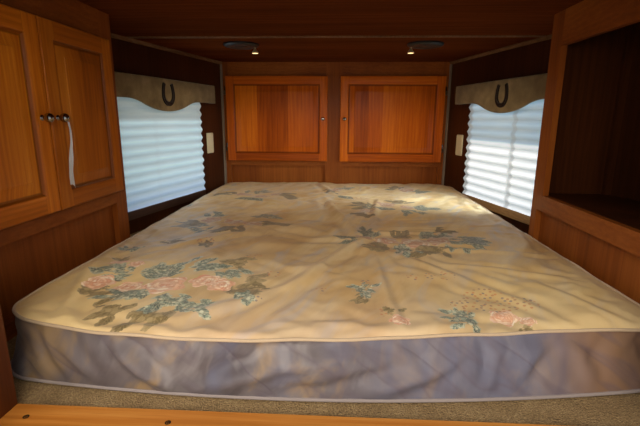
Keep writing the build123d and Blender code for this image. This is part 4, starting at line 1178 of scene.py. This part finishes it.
def shade_finish(name, lit, dusk, foot, split, bar_seen):
    """Cloth with painted daylight: its emission stands for daylight showing through it, brighter under the
    height split, changing tone towards the foot, with painted shade on the folds' undersides and painted
    shadow where the window's sash bar and frame stand behind it."""
    f = Finish(name, roughness=0.8, emission_strength=1.0)
    place = f.fact("place", "Vector")
    run, fold, front = f.split(place)
    wave = f.noise(f.vector(run * 2, fold * 0.6, 0.0), 3, 3)
    slope = (fold * math.pi).math("COSINE") * 0.5 + 0.5
    lower = ((split - f.z) / 0.02 + 0.5).clip()
    bar = band(run, -0.093, -0.063, 0.010)
    frame_shadow = 1 - band(run, -0.285, 0.285, 0.02) * band(f.z, 0.198, 0.735, 0.02)
    # Painted light: the emission colour is a daylight glow, not a lamp; fold shade and bar and frame shadow are
    # painted into it.
    light = f.mix(lower, dusk, lit)
    light = f.mix(((0.36 - f.z) / 0.15).clip(), light, foot)
    light = f.mix((1 - slope) * 0.62 + wave * 0.12, light, (70, 90, 98))
    light = f.mix(bar * bar_seen * 0.5 + frame_shadow * 0.75 * bar_seen, light, (40, 48, 56))
    f.feed(base_color=f.mix(wave, (196, 204, 208), (176, 188, 194)),
           emission_color=f.mix(front, (0, 0, 0, 1), light))
    f.bump(f.noise(f.vector(run, fold * 0.025, 0.0), 500, 2), 0.2, 0.0004)
    return f


# Painted daylight glow of each shade: lit and upper tones, foot tone, split height and how much bar and frame
# shadow shows.
shade_looks = {
    -1: shade_finish("left_shade_cloth", (142, 172, 180), (92, 108, 108), (92, 116, 152), 0.60, 0.15),
    1: shade_finish("right_shade_cloth", (246, 250, 252), (120, 150, 170), (240, 246, 250), 0.50, 1.0),
}
for side, label in SIDES:
    surface, s, t = shade_surface(side)
    shape = thin(surface, SHADE_THICK)
    inward = np.array([-side, -TAPER, 0]) / SLANT
    half = len(shape[0]) // 2
    first_is_front = (shape[0][:half] - shape[0][half:]).mean(0) @ inward > 0
    front = np.concatenate([np.ones(half), np.zeros(half)])
    front = front if first_is_front else 1 - front
    place = np.stack([np.tile(s.ravel(), 2), np.tile(t.ravel(), 2), front], 1)
    cloth_piece = piece("pleated_shade_" + label, shape, shade_looks[side],
                        stands_for=("shades",), crease=80, facts={"place": place})


# Valances with horseshoes

VALANCE_HALF, VALANCE_LOW, VALANCE_TOP = 0.44, 0.692, 0.790
VALANCE_BOARD = 0.012    # thickness of its board
VALANCE_OUT = 0.040      # its face from the wall
SHOE_UP = 0.716          # horseshoe's middle
SHOE_OUT = 0.0402        # its back from the wall


def scallop(s):
    """Height of the valance's lower edge: two arcs a side that meet without a corner."""
    half, drop, bulge, low = 0.275, 0.052, 0.62, VALANCE_LOW
    slope = 2 * math.atan2(drop, half)
    big, small = bulge * half / math.sin(slope), (1 - bulge) * half / math.sin(slope)
    s = np.abs(s)
    middle = low - drop + big - np.sqrt(np.maximum(big ** 2 - np.minimum(s, bulge * half) ** 2, 0))
    end = low - small + np.sqrt(np.maximum(small ** 2 - np.clip(half - s, 0, (1 - bulge) * half) ** 2, 0))
    return np.where(s < bulge * half, middle, np.where(s < half, end, low))


def valance_shape(side):
    """A padded cornice: an angle section swept along the wall, its lower lip following the scallop.

    The section's face is eased by quarter arcs at the lip and the top, and stands out a little in between."""
    s = np.linspace(-VALANCE_HALF, VALANCE_HALF, 177)
    low = scallop(s)[:, None]
    a = np.radians(np.linspace(0, 90, 5))
    ease = 0.004
    back = VALANCE_OUT - VALANCE_BOARD
    lip_out = np.concatenate([[back, back], VALANCE_OUT - ease + ease * np.sin(a)])
    lip_up = np.concatenate([[VALANCE_BOARD, 0.001], ease - ease * np.cos(a)])
    face_t = np.linspace(0.08, 0.92, 9)
    face_out = VALANCE_OUT + 0.0008 * np.sin(math.pi * face_t)
    top_out = VALANCE_OUT - ease + ease * np.cos(a)
    top_up = VALANCE_TOP - ease + ease * np.sin(a)
    under = VALANCE_TOP - VALANCE_BOARD
    out = np.concatenate([lip_out, face_out, top_out, [0.0, 0.0, back]])
    upper = np.concatenate([top_up, [VALANCE_TOP, under, under]])
    rows = np.concatenate([low + lip_up, low + (VALANCE_TOP - low) * face_t,
                           np.broadcast_to(upper, (len(s), len(upper)))], 1)
    rings = on_wall(side, WINDOW_Y, s[:, None] + 0 * rows, rows, out[None] + 0 * rows)
    shapes = [loft(rings)]
    for end in (-1, 1):
        inner = VALANCE_HALF - VALANCE_BOARD
        edge = np.array([VALANCE_HALF, inner, inner, VALANCE_HALF]) * end
        outs = np.array([0.0, 0.0, 0.029, 0.029])
        ends = [on_wall(side, WINDOW_Y, edge, z + 0 * edge, outs) for z in (VALANCE_LOW, 0.779)]
        shapes.append(loft(np.stack(ends)))
    return joined(shapes)


def horseshoe_shape(side):
    """A bar bent round an open oval, heels up, thinner to the heels, with a fullered groove on its face.

    The middle line is x = 38.5 cos(a), y = 41 sin(a) below and 72 sin(a) above, in millimetres."""
    steps = 56
    a = np.radians(np.linspace(134, 406, steps))
    x, y = 0.0385 * np.cos(a), np.where(np.sin(a) < 0, 0.041, 0.0715) * np.sin(a)
    line = np.stack([x, y], 1)
    ahead = np.gradient(line, axis=0)
    ahead /= np.linalg.norm(ahead, axis=1, keepdims=True)
    square = np.stack([ahead[:, 1], -ahead[:, 0]], 1)
    heelward = np.abs(np.linspace(-1, 1, steps))
    half = 0.0098 - 0.0022 * heelward ** 2
    section = np.array([(-1, 0), (-1, 0.85), (-0.8, 1), (-0.1, 1), (0.0, 0.55), (0.3, 0.55), (0.4, 1), (0.8, 1),
                        (1, 0.85), (1, 0)])
    across = half[:, None] * section[None, :, 0]
    s = line[:, :1] + square[:, :1] * across
    up = SHOE_UP + line[:, 1:] + square[:, 1:] * across
    out = SHOE_OUT + 0.0076 * section[None, :, 1] + 0 * across
    shapes = [loft(on_wall(side, WINDOW_Y, s, up, out))]
    for k in (14, 18, 22, 33, 37, 41):
        spot = line[k] + square[k] * half[k] * 0.15
        nail = [(0.0023, 0.0), (0.0023, 0.0066), (0.0014, 0.0072)]
        placed_nail = square_to_wall(side, WINDOW_Y, spot[0], SHOE_UP + spot[1], SHOE_OUT)
        shapes.append(turned(nail, 8, placed_nail))
    return joined(shapes)


for side, label in SIDES:
    made = piece("valance_" + label, valance_shape(side), suede, stands_for=("valances",),
                 crease=50)
    piece("horseshoe_" + label, horseshoe_shape(side), iron, stands_for=("horseshoes",), crease=40)


# Small fittings: plates, ceiling lights, screws and the ribbon

LIGHT_DEEP = 0.014       # ceiling light's depth
LENS_DOWN, LENS_RADIUS = 0.0244, 0.0135

# Profiles turned round a light and a lamp head: radius, height from where it hangs
LIGHT_RIM = [(0.080, 0.0), (0.080, -0.005), (0.0775, -0.0085), (0.072, -0.0115), (0.064, -0.0135),
             (0.050, -0.0138), (0.049, -0.0125), (0.030, -0.0125), (0.029, -0.0138), (0.004, -0.0138)]
LAMP_HEAD = [(0.0045, 0.0), (0.0045, -0.007), (0.0060, -0.009), (0.0100, -0.015), (0.0142, -0.0205),
             (0.0150, -0.0240), (0.0143, -0.0258), (0.0132, -0.0248), (0.0070, -0.0254), (0.0015, -0.0256)]


def plate_shape(side):
    """A pillowed plate: rounded rectangles that shrink as they rise by a quarter arc, with two screw heads."""
    a = np.radians(np.linspace(0, 88, 7))
    turn = np.linspace(0, 2 * math.pi, 48, endpoint=False)
    corner = 0.006
    core = np.array([0.035 - corner, 0.059 - corner])
    bevel, thick = 0.0045, 0.0059
    rings = []
    for inset, rise in zip(bevel * (1 - np.cos(a)), thick * np.sin(a)):
        r = corner * (1 - 0.5 * inset / bevel)
        px = np.sign(np.round(np.cos(turn), 9)) * core[0] + r * np.cos(turn) - np.sign(np.cos(turn)) * inset * 0.5
        py = np.sign(np.round(np.sin(turn), 9)) * core[1] + r * np.sin(turn) - np.sign(np.sin(turn)) * inset * 0.5
        rings.append(on_wall(side, PLATE_Y, px, PLATE_UP + py, rise))
    shapes = [loft(np.stack(rings))]
    for height in (-0.030, 0.030):
        head = [(0.0032, 0.0055), (0.0032, 0.0059), (0.0020, 0.0060)]
        shapes.append(turned(head, 14, square_to_wall(side, PLATE_Y, 0, PLATE_UP + height)))
    return joined(shapes)


def lens_finish():
    """Lamp head: metal, with a warm lit lens told apart by a fact of its points."""
    f = Finish("lamp_head_and_lens", metallic=0.6, roughness=0.35, emission_strength=2.6)
    lens = f.fact("lens")
    spark = f.noise(f.where, 300, 2)
    f.feed(base_color=f.mix(spark * 0.4, (206, 182, 138), (160, 136, 98)),
           emission_color=f.mix(lens, (0, 0, 0, 1), (255, 214, 150)))
    f.bump(spark, 0.15, 0.0004)
    return f


lens_look = lens_finish()
for side, label in SIDES:
    piece("wall_plate_" + label, plate_shape(side), ivory, stands_for=("wall_plates",), crease=40)

    light_x, lamp_x = side * LIGHT_X, side * LAMP_X
    piece("ceiling_light_" + label, turned(LIGHT_RIM, 64, standing(light_x, LIGHT_Y, CEILING)), lamp_black,
          stands_for=("ceiling_lights",), crease=30)

    shape = turned(LAMP_HEAD, 28, standing(lamp_x, LIGHT_Y, CEILING - LIGHT_DEEP))
    spread = np.hypot(shape[0][:, 0] - lamp_x, shape[0][:, 1] - LIGHT_Y)
    lit = ((shape[0][:, 2] < CEILING - LIGHT_DEEP - LENS_DOWN) & (spread < LENS_RADIUS)).astype(float)
    piece("lamp_head_" + label, shape, lens_look, stands_for=("lamp_heads",), crease=30,
          facts={"lens": lit})


def sill_screws():
    """Screw heads sunk in the sill, each a shallow dish with a cross in it."""
    first, pitch, y = -0.480, 0.2455, -1.162
    dish = [(0.0052, 0.1138), (0.0052, 0.1143), (0.0040, 0.1141), (0.0010, 0.1139)]
    shapes = []
    for k in range(5):
        x = first + pitch * k
        shapes.append(turned(dish, 20, standing(x, y)))
        for wide, long in ((0.0028, 0.0006), (0.0006, 0.0028)):
            shapes.append(box_shape((x - wide, y - long, 0.1139), (x + wide, y + long, 0.11425)))
    return joined(shapes)


screw_dark = metal_finish("sunk_screw", (44, 34, 28), 0.45, metal=0.7)
piece("sill_screws", sill_screws(), screw_dark, crease=30)


CARPET_UP, CARPET_THICK = 0.0988, 0.0052     # its middle's height and its thickness


def carpet_shape():
    """Carpet in three level fields side by side: between the cabinets, past the wardrobe, and past the cubby.

    The pile's top rolls by less than a millimetre."""
    shapes = []
    ranges = ((BULKHEAD_FACE, WARDROBE_END, 80), (WARDROBE_END, CUBBY_END, 4), (CUBBY_END, FACE, 100))
    for number, (y0, y1, rows) in enumerate(ranges):
        y = np.linspace(y0, y1, rows + 1)
        left = -SIDE_FACE if number == 0 else -half_width(y)
        right = half_width(y) if number == 2 else SIDE_FACE
        t = np.linspace(0, 1, 121)[:, None]
        x = left + (right - left) * t
        y = y + 0 * x
        up = CARPET_UP + 0.0006 * np.sin(x * 310) * np.sin(y * 290) + 0.0005 * np.sin(x * 97 + y * 71)
        shapes.append(thin(points_of(x, y, up), CARPET_THICK))
    return joined(shapes)


carpet = piece("cut_pile_carpet", carpet_shape(), carpet_pile, stands_for=("carpet",), crease=60)


def ribbon_shape():
    """A ribbon hung over the far wardrobe knob: it twists slowly as it falls, by an angle along its length."""
    t = np.linspace(0, 1, 46)[None]
    w = np.linspace(-0.5, 0.5, 9)[:, None]
    width = 0.004 + 0.016 * np.clip((t - 0.1) / 0.8, 0, 1)
    twist = 0.5 + 0.9 * np.sin(t * 5.2) * (1 - 0.4 * t)
    y = -0.659 + 0.004 * np.sin(t * 6) + w * width * np.cos(twist)
    x = -0.6755 + 0.004 * np.sin(t * 4 + 1) + w * width * np.sin(twist) * 0.45 + 0.0015 * np.cos(w * 14 + t * 9)
    z = 0.598 - 0.165 * t - 0.012 * (w > 0.0) * w * 2 * (t > 0.97)
    return points_of(x, y, z)


def ribbon_finish():
    """White satin ribbon: fine ribs across it, white to soft grey."""
    f = Finish("white_ribbon", roughness=0.45, sheen_weight=0.3)
    ribs = f.noise(f.stretched(f.where, (1, 1, 14)), 90, 2)
    f.feed(base_color=f.mix(ribs, (206, 202, 200), (176, 168, 164)))
    f.bump(ribs, 0.3, 0.0004)
    return f


RIBBON_WIDE, RIBBON_LONG, RIBBON_THICK = 0.020, 0.168, 0.0006
ribbon = piece("knob_ribbon", thin(ribbon_shape(), RIBBON_THICK), ribbon_finish(), "wardrobe_far",
               crease=60)


def rivet_rows():
    """Domed rivets along the top and bottom of the side skins and of the nose, as small turned caps."""
    pitch, rows = 0.075, (0.100, 0.925)
    cap = [(0.0042, 0.0), (0.0036, 0.0013), (0.0016, 0.0019)]
    upward = np.array([0, 0, 1])
    shapes = []

    def rivet(base, ahead, out):
        """A cap on a skin at a point, given the run along the skin and the way that it faces."""
        shapes.append(turned(cap, 8, lambda px, py, h: base + px[..., None] * ahead
                             + py[..., None] * upward + h[..., None] * out))

    for side in (-1, 1):
        for up in rows:
            for y in np.arange(-1.18, 1.13, pitch):
                x = float(half_width(y)) + WALL * (SLANT if y > BEND else 1)
                lean = TAPER / SLANT if y > BEND else 0.0
                out = np.array([side * math.sqrt(1 - lean * lean), lean, 0])
                rivet(np.array([side * x, y, up]), np.array([-out[1], out[0], 0]), out)
    for up in rows:
        for x in np.arange(-0.525, 0.53, pitch):
            rivet(np.array([x, NOSE, up]), np.array([1, 0, 0]), np.array([0, 1, 0]))
    return joined(shapes)


piece("skin_rivets", rivet_rows(), aluminium, crease=50)


# Stage, lights and camera

def stage_finish():
    """Pale floor with a faint mottle."""
    f = Finish("pale_floor", roughness=0.9)
    f.feed(base_color=f.mix(f.noise(f.where, 3, 2), (228, 228, 226), (222, 222, 220)))
    return f


floor_points = np.array([[(-30, -30, 0), (-30, 30, 0)], [(30, -30, 0), (30, 30, 0)]], float)
floor_mesh = bpy.data.meshes.new("floor")
floor_mesh.from_pydata(floor_points.reshape(-1, 3).tolist(), [], [[0, 2, 3, 1]])
floor_mesh.materials.append(stage_finish().material)
floor = bpy.data.objects.new("floor", floor_mesh)
bpy.context.collection.objects.link(floor)

world = bpy.data.worlds.new("studio")
world.use_nodes = True
world.node_tree.nodes["Background"].inputs["Color"].default_value = (0.86, 0.88, 0.90, 1)
world.node_tree.nodes["Background"].inputs["Strength"].default_value = 0.55
bpy.context.scene.world = world


def area_light(name, place, aim, size, power, colour=(1, 1, 1), spread=180, mirrored=True):
    """A soft rectangle of light at a place, turned to an aim. The camera doesn't see it, and gloss
    shows it only where it is mirrored."""
    data = bpy.data.lights.new(name, "AREA")
    data.shape = "RECTANGLE"
    data.size, data.size_y = size
    data.energy, data.color = power, colour
    made = bpy.data.objects.new(name, data)
    made.location = place
    toward = (np.array(aim) - np.array(place)).tolist()
    made.rotation_mode = "QUATERNION"
    made.rotation_quaternion = Vector(toward).to_track_quat("-Z", "Y")
    made.visible_camera = False
    made.visible_glossy = mirrored
    data.spread = math.radians(spread)
    bpy.context.collection.objects.link(made)
    return made


area_light("studio_key", (-3.5, -5.5, 4.5), (0, 0, 0.4), (4, 3), 200)
area_light("studio_fill", (5.0, 3.0, 4.5), (0, 0, 0.4), (5, 4), 140)
area_light("doorway_light", (0.05, -2.3, 0.95), (0, 0.6, 0.35), (1.1, 0.6), 8.8, (1.0, 0.94, 0.85), spread=105,
           mirrored=False)
area_light("left_window_glow", (-0.77, 0.29, 0.48), (0, 0.1, 0.30), (0.5, 0.5), 0.6, (0.80, 0.90, 1.0))
area_light("right_window_glow", (0.77, 0.29, 0.45), (0.1, 0.50, 0.10), (0.5, 0.45), 3.4, (0.66, 0.85, 1.0),
           spread=82)
area_light("room_lamp", (-0.10, -1.75, 1.35), (-0.54, -0.80, 0.22), (0.3, 0.3), 0.34, (1.0, 0.93, 0.82), spread=45,
           mirrored=False)
for side, label in SIDES:
    bulb = bpy.data.lights.new("lamp_glow_" + label, "SPOT")
    bulb.energy, bulb.color, bulb.shadow_soft_size = 2.8, (1.0, 0.80, 0.55), 0.012
    bulb.spot_size, bulb.spot_blend = math.radians(160), 0.4
    glow = bpy.data.objects.new("lamp_glow_" + label, bulb)
    glow.location = (side * LAMP_X, LIGHT_Y, 0.885)
    bpy.context.collection.objects.link(glow)

# The camera, fitted to the photograph's straight edges
YAW, PITCH, ROLL = (math.radians(v) for v in (2.79, 12.70, 0.345))
EYE = (0.0468, -1.755, 0.611)
forward = np.array([-math.sin(YAW) * math.cos(PITCH), math.cos(YAW) * math.cos(PITCH), -math.sin(PITCH)])
level = np.array([math.cos(YAW), math.sin(YAW), 0])
over = np.cross(level, forward)
right_way = level * math.cos(ROLL) + over * math.sin(ROLL)
up_way = over * math.cos(ROLL) - level * math.sin(ROLL)
camera_data = bpy.data.cameras.new("camera")
camera_data.lens, camera_data.sensor_width = 23.58, 36
camera_data.clip_start = 0.05
camera = bpy.data.objects.new("camera", camera_data)
pose = np.eye(4)
pose[:3, 0], pose[:3, 1], pose[:3, 2], pose[:3, 3] = right_way, up_way, -forward, EYE
camera.matrix_world = Matrix(pose.tolist())
bpy.context.collection.objects.link(camera)
bpy.context.scene.camera = camera

bpy.context.scene.view_settings.view_transform = "Standard"
